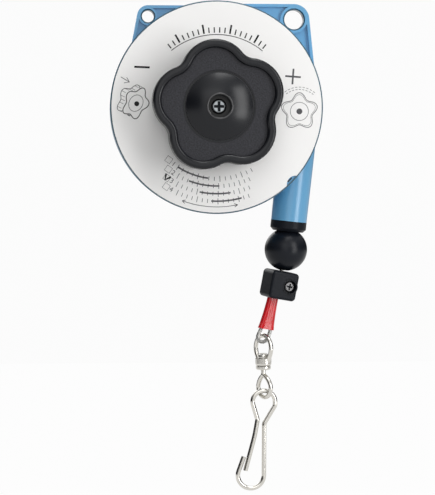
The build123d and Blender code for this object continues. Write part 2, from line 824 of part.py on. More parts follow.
with BuildPart() as power_spring:
    with BuildSketch(facing(drum_web_front + 2 * strip_gap)):
        with BuildLine():
            outer = coil_points(strip_thickness / 2)
            inner = coil_points(-strip_thickness / 2)
            for start, middle, end in outer + inner:
                ThreePointArc(start, middle, end)
            Line(outer[0][0], inner[0][0])
            Line(outer[-1][2], inner[-1][2])
        make_face()
    extrude(amount=drum_cover_back - drum_web_front - 4 * strip_gap)
power_spring.part.label = "power_spring"
export_step(power_spring.part, "parts/power_spring.step")

# The wound rope: whole turns, and a last turn that ends where the rope leaves
wound_inner = pitch_radius - rope_radius
wound_outer = pitch_radius + rope_radius
windings_back = -channel_front
last_turn_back = channel_front - turn_pitch
last_turn_arc = 340
with BuildPart() as rope_windings:
    with BuildSketch(half_section()):
        ring_profile(wound_inner, wound_outer, windings_back, last_turn_back)
    revolve(axis=drum_axis)
    leaving = Plane(
        (drum_axis_x, 0, drum_axis_z),
        x_dir=(cos(radians(nozzle_tilt)), 0, -sin(radians(nozzle_tilt))),
        z_dir=(sin(radians(nozzle_tilt)), 0, cos(radians(nozzle_tilt))),
    )
    with BuildSketch(leaving):
        ring_profile(wound_inner, wound_outer, last_turn_back - 0.5, channel_front - turn_gap)
    revolve(axis=drum_axis, revolution_arc=last_turn_arc)
rope_windings.part.label = "rope_windings"
export_step(rope_windings.part, "parts/rope_windings.step")

with BuildPart() as rope_nipple:
    nipple_back = -lip_front - nipple_radius - fit_gap
    nipple_place = on_drum(drum_floor + nipple_radius + fit_gap, nipple_angle, nipple_back)
    nipple_run = Vector(-sin(radians(nipple_angle)), 0, cos(radians(nipple_angle)))
    nipple_end = nipple_place - nipple_run * (nipple_length / 2)
    with BuildSketch(Plane(nipple_end, x_dir=(0, 1, 0), z_dir=nipple_run)):
        Circle(nipple_radius)
    extrude(amount=nipple_length)
    chamfer(rope_nipple.edges().filter_by(GeomType.CIRCLE), 0.4)
rope_nipple.part.label = "rope_nipple"
export_step(rope_nipple.part, "parts/rope_nipple.step")

# Nozzle bush, its rope throat and the seat for the ball
throat_radius = 1.6
throat_mouth = 5.0
throat_start = nozzle_length - bush_spigot_length
throat_end = nozzle_length - 1.7
bush_edge_chamfer = 1.5

with BuildPart() as nozzle_bush:
    with BuildSketch(across_nozzle(bush_end)):
        Circle(bush_flange_radius)
    extrude(amount=bush_flange_height)
    chamfer(nozzle_bush.edges().filter_by(GeomType.CIRCLE).sort_by(Axis.Z)[0], bush_edge_chamfer)
    with BuildSketch(across_nozzle(nozzle_length)):
        Circle(nozzle_bore_radius - fit_gap)
    extrude(amount=bush_spigot_length)
    with BuildSketch(across_nozzle(bush_end)):
        Circle(throat_radius)
    extrude(amount=bush_flange_height + bush_spigot_length, mode=Mode.SUBTRACT)
    with BuildSketch(across_nozzle(throat_end)):
        Circle(throat_radius)
    with BuildSketch(across_nozzle(throat_start)):
        Circle(throat_mouth)
    loft(mode=Mode.SUBTRACT)
    with Locations(on_nozzle(ball_distance)):
        Sphere(ball_radius + ball_seat_gap, mode=Mode.SUBTRACT)
nozzle_bush.part.label = "nozzle_bush"
export_step(nozzle_bush.part, "parts/nozzle_bush.step")

ball_bore_radius = 1.6
ball_socket_radius = 2.4
with BuildPart() as ball_stop:
    with Locations(on_nozzle(ball_distance)):
        Sphere(ball_radius)
    with BuildSketch(across_nozzle(ball_distance + ball_radius + 1)):
        Circle(ball_bore_radius)
    extrude(amount=2 * ball_radius + 2, mode=Mode.SUBTRACT)
    with BuildSketch(across_nozzle(ball_distance + ball_radius + 1)):
        Circle(ball_socket_radius)
    extrude(amount=0.7 * ball_radius, mode=Mode.SUBTRACT)
ball_stop.part.label = "ball_stop"
export_step(ball_stop.part, "parts/ball_stop.step")

# The rope between the drum and the ball leans on its neighbour turn at first
leaving_front = channel_front - turn_gap / 2 - rope_radius
lean_length = 16.0
rope_start = on_drum(pitch_radius + 0.05, -nozzle_tilt, leaving_front)
rope_run_points = [
    rope_start,
    rope_start + nozzle_down * lean_length,
    on_nozzle(throat_end),
    on_nozzle(ball_top),
]
rope_run_radii = [100.0, 35.0]
with BuildPart() as rope_run:
    with BuildLine() as run_line:
        FilletPolyline(*rope_run_points, radius=rope_run_radii)
    with BuildSketch(Plane(run_line.wire() @ 0, x_dir=(0, 1, 0), z_dir=run_line.wire() % 0)):
        Circle(rope_radius)
    sweep(path=run_line.wire())
rope_run.part.label = "rope_run"
export_step(rope_run.part, "parts/rope_run.step")

# Clamp block below the ball, split into two halves through the rope's plane
clamp_up = Vector(0, 0, 1).rotate(Axis.Y, clamp_tilt)
clamp_right = Vector(cos(radians(clamp_turn)), sin(radians(clamp_turn)), 0).rotate(Axis.Y, clamp_tilt)
clamp_gap = 0.3
clamp_centre = on_nozzle(ball_distance) - clamp_up * (ball_radius + clamp_gap + clamp_height / 2)
clamp_plane = Plane(clamp_centre, x_dir=clamp_right, z_dir=clamp_right.cross(clamp_up))


def in_clamp(right, up):
    """A point of the clamp's middle plane, from the block's centre."""
    return clamp_centre + clamp_right * right + clamp_up * up


strand_spacing = 2 * rope_radius + 0.06
sleeve_top = -clamp_height / 2 - face_gap
sleeve_bottom = sleeve_top - sleeve_length
main_strand = strand_offset + strand_spacing / 2
dead_strand = strand_offset - strand_spacing / 2
loop_drop = sleeve_bottom - loop_length
loop_right = main_strand + 0.75
loop_left = dead_strand - 3.8
rope_end_points = [
    on_nozzle(ball_top),
    on_nozzle(ball_distance + 4),
    in_clamp(main_strand, sleeve_top + 1),
    in_clamp(loop_right, loop_drop),
    in_clamp(loop_left, loop_drop),
    in_clamp(dead_strand - 1.6, sleeve_bottom + 2),
    in_clamp(dead_strand, sleeve_top + 1),
    in_clamp(dead_strand, 3.0),
]
rope_end_radii = [30.0, 40.0, 2.6, 2.5, 25.0, 30.0]


def rope_tube(radius):
    """The rope's end, from the ball down round the loop and back into the clamp."""
    with BuildLine() as line:
        FilletPolyline(*rope_end_points, radius=rope_end_radii)
    path = line.wire()
    with BuildSketch(Plane(path @ 0, x_dir=(0, 1, 0), z_dir=path % 0)) as section:
        Circle(radius)
    with BuildPart() as tube:
        sweep(section.sketch, path=path)
    return tube.part


rope_loop_solid = rope_tube(rope_radius)
with BuildPart() as rope_loop:
    add(rope_loop_solid)
rope_loop.part.label = "rope_loop"
export_step(rope_loop.part, "parts/rope_loop.step")

clamp_screw_radius = 1.5
clamp_screw_head = 2.5
clamp_counterbore_radius = 3.4
clamp_counterbore_depth = 2.6
clamp_nut_radius = 3.0
clamp_nut_thickness = 2.4
rope_channel = rope_tube(rope_radius + fit_gap)


def clamp_half(front):
    """One half of the block: front is 1 for the label side and -1 for the back."""
    with BuildPart() as half:
        with BuildSketch(clamp_plane):
            RectangleRounded(clamp_width, clamp_height, clamp_corner)
        extrude(amount=front * clamp_depth / 2)
        fillet(half.faces().sort_by(Axis((0, 0, 0), clamp_plane.z_dir * front))[-1].edges(), 1.2)
        screw_place = Plane(in_clamp(clamp_screw_offset, 0), x_dir=clamp_right, z_dir=clamp_plane.z_dir)
        with BuildSketch(screw_place.offset(-clamp_depth)) as shank_hole:
            Circle(clamp_screw_radius + fit_gap)
        extrude(shank_hole.sketch, amount=2 * clamp_depth, mode=Mode.SUBTRACT)
        seat = clamp_depth / 2 - clamp_counterbore_depth
        with BuildSketch(screw_place.offset(front * seat)) as pocket:
            if front > 0:
                Circle(clamp_counterbore_radius)
            else:
                RegularPolygon(clamp_nut_radius + fit_gap, 6)
        extrude(pocket.sketch, amount=front * clamp_depth, mode=Mode.SUBTRACT)
        add(rope_channel, mode=Mode.SUBTRACT)
    return half.part


with BuildPart() as clamp_front:
    add(clamp_half(1))
clamp_front.part.label = "clamp_front"
export_step(clamp_front.part, "parts/clamp_front.step")

with BuildPart() as clamp_back:
    add(clamp_half(-1))
clamp_back.part.label = "clamp_back"
export_step(clamp_back.part, "parts/clamp_back.step")

clamp_screw_seat = clamp_depth / 2 - clamp_counterbore_depth
clamp_screw_plane = Plane(in_clamp(clamp_screw_offset, 0), x_dir=clamp_right, z_dir=clamp_plane.z_dir)
clamp_head_height = 1.8

with BuildPart() as clamp_screw:
    with BuildSketch(clamp_screw_plane.offset(clamp_screw_seat + fit_gap)):
        Circle(clamp_screw_head)
    extrude(amount=clamp_head_height)
    fillet(clamp_screw.edges().filter_by(GeomType.CIRCLE).sort_by(Axis.Y)[0], 0.6)
    with BuildSketch(clamp_screw_plane.offset(clamp_screw_seat + clamp_head_height / 2)):
        cross_recess(1.3 * clamp_screw_head)
    extrude(amount=clamp_head_height, mode=Mode.SUBTRACT)
    with BuildSketch(clamp_screw_plane.offset(clamp_screw_seat + 2 * fit_gap)):
        Circle(clamp_screw_radius)
    extrude(amount=-(2 * clamp_screw_seat + clamp_nut_thickness - 0.5))
clamp_screw.part.label = "clamp_screw"
export_step(clamp_screw.part, "parts/clamp_screw.step")

with BuildPart() as clamp_nut:
    with BuildSketch(clamp_screw_plane.offset(-clamp_screw_seat - fit_gap)):
        RegularPolygon(clamp_nut_radius, 6)
        Circle(clamp_screw_radius + fit_gap, mode=Mode.SUBTRACT)
    extrude(amount=-(clamp_nut_thickness - 0.3))
clamp_nut.part.label = "clamp_nut"
export_step(clamp_nut.part, "parts/clamp_nut.step")

# Sleeve over the two strands, flattened and flared towards the loop
sleeve_thickness = 2 * rope_radius + 2 * sleeve_wall + 0.3
sleeve_top_width = 2 * strand_spacing + 2 * sleeve_wall + 0.24
sleeve_bottom_width = 7.9
sleeve_drift = -0.75


def sleeve_loft(margin, mode):
    """The sleeve's flat oval, lofted down from the clamp to its flared mouth."""
    top = Plane(in_clamp(strand_offset, sleeve_top), x_dir=clamp_right, z_dir=clamp_up)
    bottom = Plane(
        in_clamp(strand_offset + sleeve_drift, sleeve_bottom), x_dir=clamp_right, z_dir=clamp_up
    )
    with BuildSketch(top) as upper:
        SlotOverall(sleeve_top_width - 2 * margin, sleeve_thickness - 2 * margin)
    with BuildSketch(bottom) as lower:
        SlotOverall(sleeve_bottom_width - 2 * margin, sleeve_thickness - 2 * margin)
    loft([upper.sketch, lower.sketch], mode=mode)


with BuildPart() as rope_sleeve:
    sleeve_loft(0, Mode.ADD)
    sleeve_loft(sleeve_wall, Mode.SUBTRACT)
rope_sleeve.part.label = "rope_sleeve"
export_step(rope_sleeve.part, "parts/rope_sleeve.step")

# Swivel bow: a wire arch on a collar, hung on the rope's loop
loop_bottom = in_clamp((loop_left + loop_right) / 2, loop_drop)
bow_top = loop_bottom + Vector(bow_offset, bow_set_back, rope_radius + bow_wire + hang_gap)
collar_top = -bow_height
collar_bottom = collar_top - collar_height


def upright(origin, turn, lean=0.0):
    """A plane on edge, turned about the vertical, with Y up and leaning in itself."""
    across = Vector(cos(radians(turn)), sin(radians(turn)), 0)
    face = across.cross(Vector(0, 0, 1))
    return Plane(origin, x_dir=across.rotate(Axis((0, 0, 0), face), lean), z_dir=face)


def placed(line, plane):
    """A path drawn on the XY plane, moved to the plane that it belongs on."""
    return line.wire().moved(plane.location)


bow_plane = upright(bow_top, bow_turn)
swivel_axis = Axis(bow_top, (0, 0, 1))


def turned_on_swivel(inner, outer, bottom, top):
    """A ring's section beside the swivel's axis, measured from the bow's top."""
    with Locations(((inner + outer) / 2, (bottom + top) / 2)):
        Rectangle(outer - inner, top - bottom)


with BuildPart() as swivel_bow:
    with BuildLine(Plane.XY, mode=Mode.PRIVATE) as bow_side:
        arch = JernArc((0, 0), (1, 0), bow_arch_radius, -bow_arc)
        side = JernArc(arch @ 1, arch % 1, bow_side_radius, -bow_arc)
        PolarLine(side @ 1, bow_leg, direction=side % 1)
    bow_path = placed(bow_side, bow_plane)
    with BuildSketch(Plane(bow_path @ 0, x_dir=(0, 0, 1), z_dir=bow_path % 0)):
        Circle(bow_wire)
    sweep(path=bow_path)
    mirror(about=Plane(bow_top, x_dir=(0, 0, 1), z_dir=bow_plane.x_dir))
    with BuildSketch(Plane.XY.offset(bow_top.Z + collar_bottom)):
        with Locations((bow_top.X, bow_top.Y)):
            Circle(collar_radius)
    extrude(amount=collar_height)
    fillet(swivel_bow.edges().filter_by(GeomType.CIRCLE).group_by(Axis.Z)[0], 1.2)
    with BuildSketch(Plane.XY.offset(bow_top.Z + collar_bottom - 1)):
        with Locations((bow_top.X, bow_top.Y)):
            Circle(stem_radius + fit_gap)
    extrude(amount=collar_height + 2, mode=Mode.SUBTRACT)
    with BuildSketch(Plane.XY.offset(bow_top.Z + collar_top)):
        with Locations((bow_top.X, bow_top.Y)):
            Circle(head_radius + 0.2)
    extrude(amount=head_height + 0.3, mode=Mode.SUBTRACT)
swivel_bow.part.label = "swivel_bow"
export_step(swivel_bow.part, "parts/swivel_bow.step")

# Swivel eye: a headed stem through the collar, with a flange and a teardrop eye
flange_top = collar_bottom - face_gap
flange_bottom = flange_top - flange_height
apex_drop = flange_bottom - stem_below_flange
eye_apex = bow_top + Vector(0, 0, apex_drop)
eye_plane = upright(eye_apex, eye_turn, eye_lean)

with BuildPart() as swivel_eye:
    with BuildLine(Plane.XY, mode=Mode.PRIVATE) as drop_side:
        bottom_arc = JernArc((0, -drop_height), (1, 0), drop_bottom_radius, drop_bottom_arc)
        JernArc(bottom_arc @ 1, bottom_arc % 1, drop_side_radius, drop_side_arc)
    drop_path = placed(drop_side, eye_plane)
    with BuildSketch(Plane(drop_path @ 0, x_dir=eye_plane.z_dir, z_dir=drop_path % 0)):
        Circle(eye_wire)
    sweep(path=drop_path)
    mirror(about=Plane(eye_apex, x_dir=eye_plane.z_dir, z_dir=eye_plane.x_dir))
    with Locations(eye_apex):
        Sphere(eye_wire + 0.2)
    section = Plane(bow_top, x_dir=(1, 0, 0), z_dir=(0, -1, 0))
    with BuildSketch(section):
        turned_on_swivel(0, stem_radius, apex_drop, collar_top + 1)
        turned_on_swivel(0, flange_radius, flange_bottom, flange_top)
        turned_on_swivel(0, head_radius, collar_top + face_gap, collar_top + head_height)
    revolve(axis=swivel_axis)
    rounded = [
        edge
        for edge in swivel_eye.edges().filter_by(GeomType.CIRCLE)
        if abs(edge.radius - head_radius) < 1e-6 or abs(edge.radius - flange_radius) < 1e-6
    ]
    fillet(ShapeList(rounded).group_by(Axis.Z)[-1], 1.6)
    fillet(ShapeList(rounded).group_by(Axis.Z)[0], 0.9)
swivel_eye.part.label = "swivel_eye"
export_step(swivel_eye.part, "parts/swivel_eye.step")

# Snap hook: one bent wire, whose free end springs against the hook's tip
eye_bottom = eye_plane.from_local_coords((0, -drop_height))
hook_hang = eye_wire + hook_wire + hang_slack - hook_arch_radius
hook_pivot = Vector(eye_apex.X + hook_shift, eye_apex.Y - hook_forward, eye_bottom.Z + hook_hang)
hook_plane = Plane(hook_pivot, x_dir=(1, 0, 0), z_dir=(0, -1, 0))
neck = Vector(-neck_offset, -neck_drop)
bowl_width = tip_offset + (leg_drop - tip_drop) * tip_lean
arch_fillet = 0.99 * hook_arch_radius
tip_turn = 90 + degrees(atan(tip_lean))
bowl_radius = 0.995 * bowl_width / (1 + tan(radians(tip_turn / 2)))
hook_points = [
    neck,
    (-neck_offset - neck_lean * (hook_arch_radius + neck_drop), hook_arch_radius),
    (hook_arch_radius, hook_arch_radius),
    (hook_arch_radius, -shoulder_drop),
    (leg_offset, -waist_drop),
    (0.0, -leg_drop),
    (-bowl_width, -leg_drop),
    (-tip_offset, -tip_drop),
]
hook_radii = [arch_fillet, arch_fillet, shoulder_radius, waist_radius, bowl_radius, bowl_radius]

with BuildPart() as snap_hook:
    with BuildLine(Plane.XY, mode=Mode.PRIVATE) as hook_line:
        FilletPolyline(*hook_points, radius=hook_radii)
    hook_path = placed(hook_line, hook_plane)
    with BuildSketch(Plane(hook_path @ 0, x_dir=(0, 1, 0), z_dir=hook_path % 0)):
        Circle(hook_wire)
    sweep(path=hook_path)
    with Locations(hook_plane.from_local_coords(neck)):
        Sphere(hook_wire + gate_clearance, mode=Mode.SUBTRACT)
snap_hook.part.label = "snap_hook"
export_step(snap_hook.part, "parts/snap_hook.step")

gate_points = [neck, (-gate_waist_offset, -gate_waist_drop), (-gate_end_offset, -gate_end_drop)]
with BuildPart() as hook_gate:
    with BuildLine(Plane.XY, mode=Mode.PRIVATE) as gate_line:
        FilletPolyline(*gate_points, radius=gate_bend_radius)
    gate_path = placed(gate_line, hook_plane)
    with BuildSketch(Plane(gate_path @ 0, x_dir=(0, 1, 0), z_dir=gate_path % 0)):
        Circle(hook_wire)
    sweep(path=gate_path)
    with Locations(hook_plane.from_local_coords(neck)):
        Sphere(hook_wire)
hook_gate.part.label = "hook_gate"
export_step(hook_gate.part, "parts/hook_gate.step")

print("rope loop bottom", loop_bottom, "bow top", bow_top)
print("eye apex", eye_apex, "eye bottom", eye_bottom, "hook pivot", hook_pivot)
print("gate hinge", hook_plane.from_local_coords(neck), "turns", turns)
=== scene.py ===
# %% [markdown]
# A spring tool balancer, dressed for its portrait
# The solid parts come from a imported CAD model, which is the frame that everything here hangs on.
# What is added is what CAD leaves plain: the print on the face, the lay of the wire rope, the
# shrunk sleeve, and the finishes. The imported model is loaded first, because most of the new
# pieces are placed by measures taken on it.

# %% Load the frame
from math import atan2, cos, pi, radians, sin, tau

import bmesh
import bpy
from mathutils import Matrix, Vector


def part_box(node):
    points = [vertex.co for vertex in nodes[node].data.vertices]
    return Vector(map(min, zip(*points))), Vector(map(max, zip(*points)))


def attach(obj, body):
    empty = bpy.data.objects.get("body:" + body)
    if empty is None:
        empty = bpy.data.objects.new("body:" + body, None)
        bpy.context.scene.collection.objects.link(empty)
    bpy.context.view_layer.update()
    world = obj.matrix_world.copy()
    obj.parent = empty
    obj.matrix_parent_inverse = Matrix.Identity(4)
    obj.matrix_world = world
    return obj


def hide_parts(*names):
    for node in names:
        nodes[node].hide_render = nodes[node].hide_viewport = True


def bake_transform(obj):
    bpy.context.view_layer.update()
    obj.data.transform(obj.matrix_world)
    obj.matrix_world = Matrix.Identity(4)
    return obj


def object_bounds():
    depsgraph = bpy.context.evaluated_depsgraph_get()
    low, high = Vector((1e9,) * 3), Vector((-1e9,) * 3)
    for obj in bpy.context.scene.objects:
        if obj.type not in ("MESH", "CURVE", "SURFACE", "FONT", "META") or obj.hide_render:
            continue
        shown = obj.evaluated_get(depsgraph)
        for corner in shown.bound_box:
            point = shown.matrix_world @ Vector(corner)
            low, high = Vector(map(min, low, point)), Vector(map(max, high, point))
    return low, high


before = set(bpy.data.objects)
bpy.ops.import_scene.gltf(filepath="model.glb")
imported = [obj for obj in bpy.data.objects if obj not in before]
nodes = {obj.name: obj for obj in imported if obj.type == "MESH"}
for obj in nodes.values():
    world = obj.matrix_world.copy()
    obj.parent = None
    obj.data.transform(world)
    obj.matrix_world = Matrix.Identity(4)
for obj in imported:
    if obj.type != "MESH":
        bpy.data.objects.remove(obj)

MM = 0.001
cad_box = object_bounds()
print("pieces in the frame:", len(nodes))

# %% [markdown]
# Places on the object
# The face is a disc, so its marks are easiest to place from its centre, in millimetres to the
# right and up. Typed coordinates would do, but the centre, the radius and the depth are measured
# on the label itself, which keeps the print on it if the CAD model ever moves it.

# %% Measure the face
label_low, label_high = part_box("face_label")
face_x = (label_low.x + label_high.x) / 2
face_z = (label_low.z + label_high.z) / 2
face_y = label_low.y
face_radius = (label_high.x - label_low.x) / 2


def on_face(right, up):
    """A point on the label, in millimetres from the disc's centre."""
    return Vector((face_x + right * MM, face_y, face_z + up * MM))


def spoke(inner, outer, angle):
    """The two ends of a radial stroke, in millimetres from the disc's centre."""
    turn = radians(angle)
    return [(r * cos(turn), r * sin(turn)) for r in (inner, outer)]


print("label radius", round(face_radius / MM, 2), "mm, centre at", round(face_x, 5), round(face_z, 5))

# %% [markdown]
# Working with operators
# Operators act on whatever is selected, and the import leaves every piece selected. So each new
# piece starts from an empty selection. When a piece is done its place is applied, so that its
# origin is the frame's origin, as it is for the CAD pieces, and no pattern slides on it.

# %% Helpers for selecting and finishing
def start_clean():
    """Nothing selected and nothing active."""
    if bpy.context.object and bpy.context.object.mode != "OBJECT":
        bpy.ops.object.mode_set(mode="OBJECT")
    bpy.ops.object.select_all(action="DESELECT")


def settle(piece, name):
    """Name a piece, make it a mesh and move its place into its vertices."""
    start_clean()
    bpy.context.view_layer.objects.active = piece
    piece.select_set(True)
    if piece.type != "MESH":
        bpy.ops.object.convert(target="MESH")
        piece = bpy.context.object
    bpy.ops.object.transform_apply(location=True, rotation=True, scale=True)
    piece.name = name
    return piece


def join(pieces, name):
    """One mesh from several."""
    start_clean()
    for piece in pieces:
        piece.select_set(True)
    bpy.context.view_layer.objects.active = pieces[0]
    bpy.ops.object.join()
    return settle(bpy.context.object, name)


# %% [markdown]
# Effects that the finishes share
# Real surfaces are never one number: paint has orange peel, mouldings have grain and turned metal
# has fine rings. Each effect could be drawn anew in every material, but as a node group it is made
# once. A group puts out a colour, a roughness or a height. The shader stays in each material.

# %% A helper that starts a node group
def new_effect(name, inputs, outputs):
    """A shader node group with its sockets, and its input and output nodes."""
    tree = bpy.data.node_groups.new(name, "ShaderNodeTree")
    for socket_name, kind, value in inputs:
        socket = tree.interface.new_socket(socket_name, in_out="INPUT", socket_type=kind)
        socket.default_value = value
    for socket_name, kind in outputs:
        tree.interface.new_socket(socket_name, in_out="OUTPUT", socket_type=kind)
    return tree, tree.nodes.new("NodeGroupInput"), tree.nodes.new("NodeGroupOutput")


def add_node(tree, kind, links=None, **settings):
    """A node with its settings, and its inputs given as {input: output socket or value}."""
    node = tree.nodes.new(kind)
    for key, value in settings.items():
        setattr(node, key, value)
    for key, source in (links or {}).items():
        if isinstance(source, bpy.types.NodeSocket):
            tree.links.new(source, node.inputs[key])
        else:
            node.inputs[key].default_value = source
    return node


# %% [markdown]
# Unevenness
# A broad, faint noise shifts the colour and the roughness a little, the way handling and age do.
# It reads Object coordinates, which are the frame's own metres, so it never slides on a piece.

# %% The unevenness group
unevenness, into, out = new_effect(
    "Unevenness",
    [("Colour", "NodeSocketColor", (0.5, 0.5, 0.5, 1.0)), ("Colour Shift", "NodeSocketFloat", 0.05),
     ("Roughness", "NodeSocketFloat", 0.4), ("Roughness Shift", "NodeSocketFloat", 0.05),
     ("Scale", "NodeSocketFloat", 120.0)],
    [("Colour", "NodeSocketColor"), ("Roughness", "NodeSocketFloat")],
)
place = add_node(unevenness, "ShaderNodeTexCoord")
clouds = add_node(unevenness, "ShaderNodeTexNoise",
                  {"Vector": place.outputs["Object"], "Scale": into.outputs["Scale"], "Detail": 4.0})
centred = add_node(unevenness, "ShaderNodeMath", {0: clouds.outputs["Fac"], 1: 0.5}, operation="SUBTRACT")
shade = add_node(unevenness, "ShaderNodeMath",
                 {0: centred.outputs[0], 1: into.outputs["Colour Shift"], 2: 1.0}, operation="MULTIPLY_ADD")
tinted = add_node(unevenness, "ShaderNodeVectorMath",
                  {0: into.outputs["Colour"], "Scale": shade.outputs[0]}, operation="SCALE")
rubbed = add_node(unevenness, "ShaderNodeMath",
                  {0: centred.outputs[0], 1: into.outputs["Roughness Shift"], 2: into.outputs["Roughness"]},
                  operation="MULTIPLY_ADD", use_clamp=True)
unevenness.links.new(tinted.outputs["Vector"], out.inputs["Colour"])
unevenness.links.new(rubbed.outputs[0], out.inputs["Roughness"])
print("effect:", unevenness.name)

# %% [markdown]
# Skin
# Enamel on a casting and a textured mould both leave small hills, too small to model. They differ
# in size, so one group with a scale serves the paint, the knob's grain and the nylon, and the bump
# in each material says how deep they are.

# %% The skin group
skin, into, out = new_effect(
    "Skin",
    [("Scale", "NodeSocketFloat", 800.0)],
    [("Height", "NodeSocketFloat")],
)
place = add_node(skin, "ShaderNodeTexCoord")
hills = add_node(skin, "ShaderNodeTexNoise",
                 {"Vector": place.outputs["Object"], "Scale": into.outputs["Scale"], "Detail": 2.0})
skin.links.new(hills.outputs["Fac"], out.inputs["Height"])
print("effect:", skin.name)

# %% [markdown]
# Lathe rings
# Turned parts carry fine rings round their axis. All the turned parts inside share the drum's
# axis, so the rings are a sine of the distance from that axis, and no piece needs a map of its own.

# %% The lathe rings group
lathe_rings, into, out = new_effect(
    "Lathe Rings",
    [("Centre", "NodeSocketVector", (face_x, 0.0, face_z)), ("Spacing", "NodeSocketFloat", 0.0004)],
    [("Height", "NodeSocketFloat")],
)
place = add_node(lathe_rings, "ShaderNodeTexCoord")
offset = add_node(lathe_rings, "ShaderNodeVectorMath",
                  {0: place.outputs["Object"], 1: into.outputs["Centre"]}, operation="SUBTRACT")
flat = add_node(lathe_rings, "ShaderNodeVectorMath", {0: offset.outputs["Vector"], 1: (1.0, 0.0, 1.0)},
                operation="MULTIPLY")
distance = add_node(lathe_rings, "ShaderNodeVectorMath", {0: flat.outputs["Vector"]}, operation="LENGTH")
turns = add_node(lathe_rings, "ShaderNodeMath",
                 {0: distance.outputs["Value"], 1: into.outputs["Spacing"]}, operation="DIVIDE")
phase = add_node(lathe_rings, "ShaderNodeMath", {0: turns.outputs[0], 1: tau}, operation="MULTIPLY")
wave = add_node(lathe_rings, "ShaderNodeMath", {0: phase.outputs[0]}, operation="SINE")
lathe_rings.links.new(wave.outputs[0], out.inputs["Height"])
print("effect:", lathe_rings.name)

# %% [markdown]
# A finish is a shader with two effects
# Every material below is the same short recipe: unevenness feeds the colour and the roughness,
# and skin or lathe rings feed a bump. One helper keeps the recipe readable. The numbers that make
# paint into paint stay where each finish is defined.

# %% The recipe for a finish
coat_roughness = 0.16


def finish(name, colour, roughness, metallic=0.0, skin_scale=800.0, skin_depth=0.0, rings=0.0,
           colour_shift=0.06, roughness_shift=0.08, coat=0.0, specular=0.5, scale=120.0):
    """A material, with the depths of its skin and rings in millimetres."""
    material = bpy.data.materials.new(name)
    material.use_nodes = True
    tree = material.node_tree
    shader = tree.nodes["Principled BSDF"]
    uneven = add_node(tree, "ShaderNodeGroup", {
        "Colour": (*colour, 1.0), "Colour Shift": colour_shift, "Roughness": roughness,
        "Roughness Shift": roughness_shift, "Scale": scale}, node_tree=unevenness)
    tree.links.new(uneven.outputs["Colour"], shader.inputs["Base Color"])
    tree.links.new(uneven.outputs["Roughness"], shader.inputs["Roughness"])
    shader.inputs["Metallic"].default_value = metallic
    shader.inputs["Coat Weight"].default_value = coat
    shader.inputs["Coat Roughness"].default_value = coat_roughness
    shader.inputs["Specular IOR Level"].default_value = specular
    if skin_depth or rings:
        relief = add_node(tree, "ShaderNodeGroup", node_tree=lathe_rings if rings else skin)
        if not rings:
            relief.inputs["Scale"].default_value = skin_scale
        bump = add_node(tree, "ShaderNodeBump",
                        {"Height": relief.outputs["Height"], "Distance": (rings or skin_depth) * MM})
        tree.links.new(bump.outputs["Normal"], shader.inputs["Normal"])
    return material


# %% [markdown]
# The finishes
# The housing is sky-blue enamel, the face is satin white, and everything below the nozzle is
# either black moulding, a red shrunk sleeve or nickel plate. Black plastic is dark grey rather
# than zero, because real plastic always gives some light back.

# %% Make the finishes
sky_blue = (0.112, 0.345, 0.575)
blue_paint = finish("blue enamel", sky_blue, 0.3, skin_scale=700, skin_depth=0.03, coat=0.35)
white_label = finish("white label", (0.9, 0.893, 0.882), 0.38, colour_shift=0.015, scale=60)
black_nylon = finish("black nylon", (0.0062, 0.0078, 0.0115), 0.4, specular=0.13, skin_scale=1800,
                     skin_depth=0.02)
black_ball = finish("black ball", (0.0062, 0.0078, 0.0118), 0.32, specular=0.2, skin_scale=2500,
                    skin_depth=0.006)
black_lip = finish("black lip", (0.012, 0.012, 0.014), 0.14, coat=0.6)
# painted shade for the groove round the clamp's screw
painted_groove_shade = finish("painted groove shade", (0.002, 0.002, 0.003), 0.5, specular=0.2)
red_sleeve = finish("red sleeve", (0.6, 0.003, 0.009), 0.18, coat=0.3, specular=0.35, skin_scale=420,
                    skin_depth=0.07, colour_shift=0.5, scale=300)
nickel = finish("nickel plate", (0.66, 0.64, 0.595), 0.16, metallic=1.0, colour_shift=0.2, scale=400)
zinc = finish("zinc plate", (0.62, 0.64, 0.65), 0.26, metallic=1.0, scale=500)
dull_zinc = finish("dull zinc plate", (0.17, 0.168, 0.17), 0.45, metallic=1.0, colour_shift=0.4, scale=900)
knob_screw_zinc = finish("knob screw zinc", (0.36, 0.385, 0.4), 0.32, metallic=1.0,
                         colour_shift=0.7, scale=900)
hard_steel = finish("oiled steel", (0.36, 0.36, 0.37), 0.34, metallic=1.0, rings=0.01)
spring_steel = finish("blued spring steel", (0.16, 0.18, 0.24), 0.28, metallic=1.0)
bronze = finish("sintered bronze", (0.5, 0.32, 0.14), 0.42, metallic=1.0, skin_scale=3000, skin_depth=0.02)
drum_alloy = finish("cast alloy", (0.58, 0.58, 0.59), 0.42, metallic=1.0, rings=0.01)
rope_wire = finish("galvanised wire", (0.42, 0.415, 0.4), 0.32, metallic=1.0, colour_shift=0.25, scale=900)
black_ink = finish("black ink", (0.004, 0.004, 0.005), 0.4, specular=0.2, colour_shift=0.02)
grey_ink = finish("grey ink", (0.06, 0.06, 0.065), 0.4, colour_shift=0.02)
# painted shade for the slot in the rim pocket
painted_slot_shade = finish("painted slot shade", (0.01, 0.012, 0.02), 0.6)
print("nickel plate has", len(nickel.node_tree.nodes), "nodes, blue enamel", len(blue_paint.node_tree.nodes))

# %% [markdown]
# Painted shade as a second tone
# Some pieces look darker where their shape changes: the cover's bevelled rim and the bores of the ears look
# darker than the enamel beside them, and the bottom of a screw's recess is dark.
# That shade is painted into their colour as a second tone.
# The CAD meshes stay as they are, so they can't be cut where the colour ends. Instead a mask mixes
# the second colour in, made from the depth of the surface or its distance from an axis.

# %% Masks by place
def from_point(tree, point):
    """The vector from a fixed point to the place on the surface."""
    place = add_node(tree, "ShaderNodeTexCoord")
    return add_node(tree, "ShaderNodeVectorMath", {0: place.outputs["Object"], 1: tuple(point)},
                    operation="SUBTRACT").outputs["Vector"]


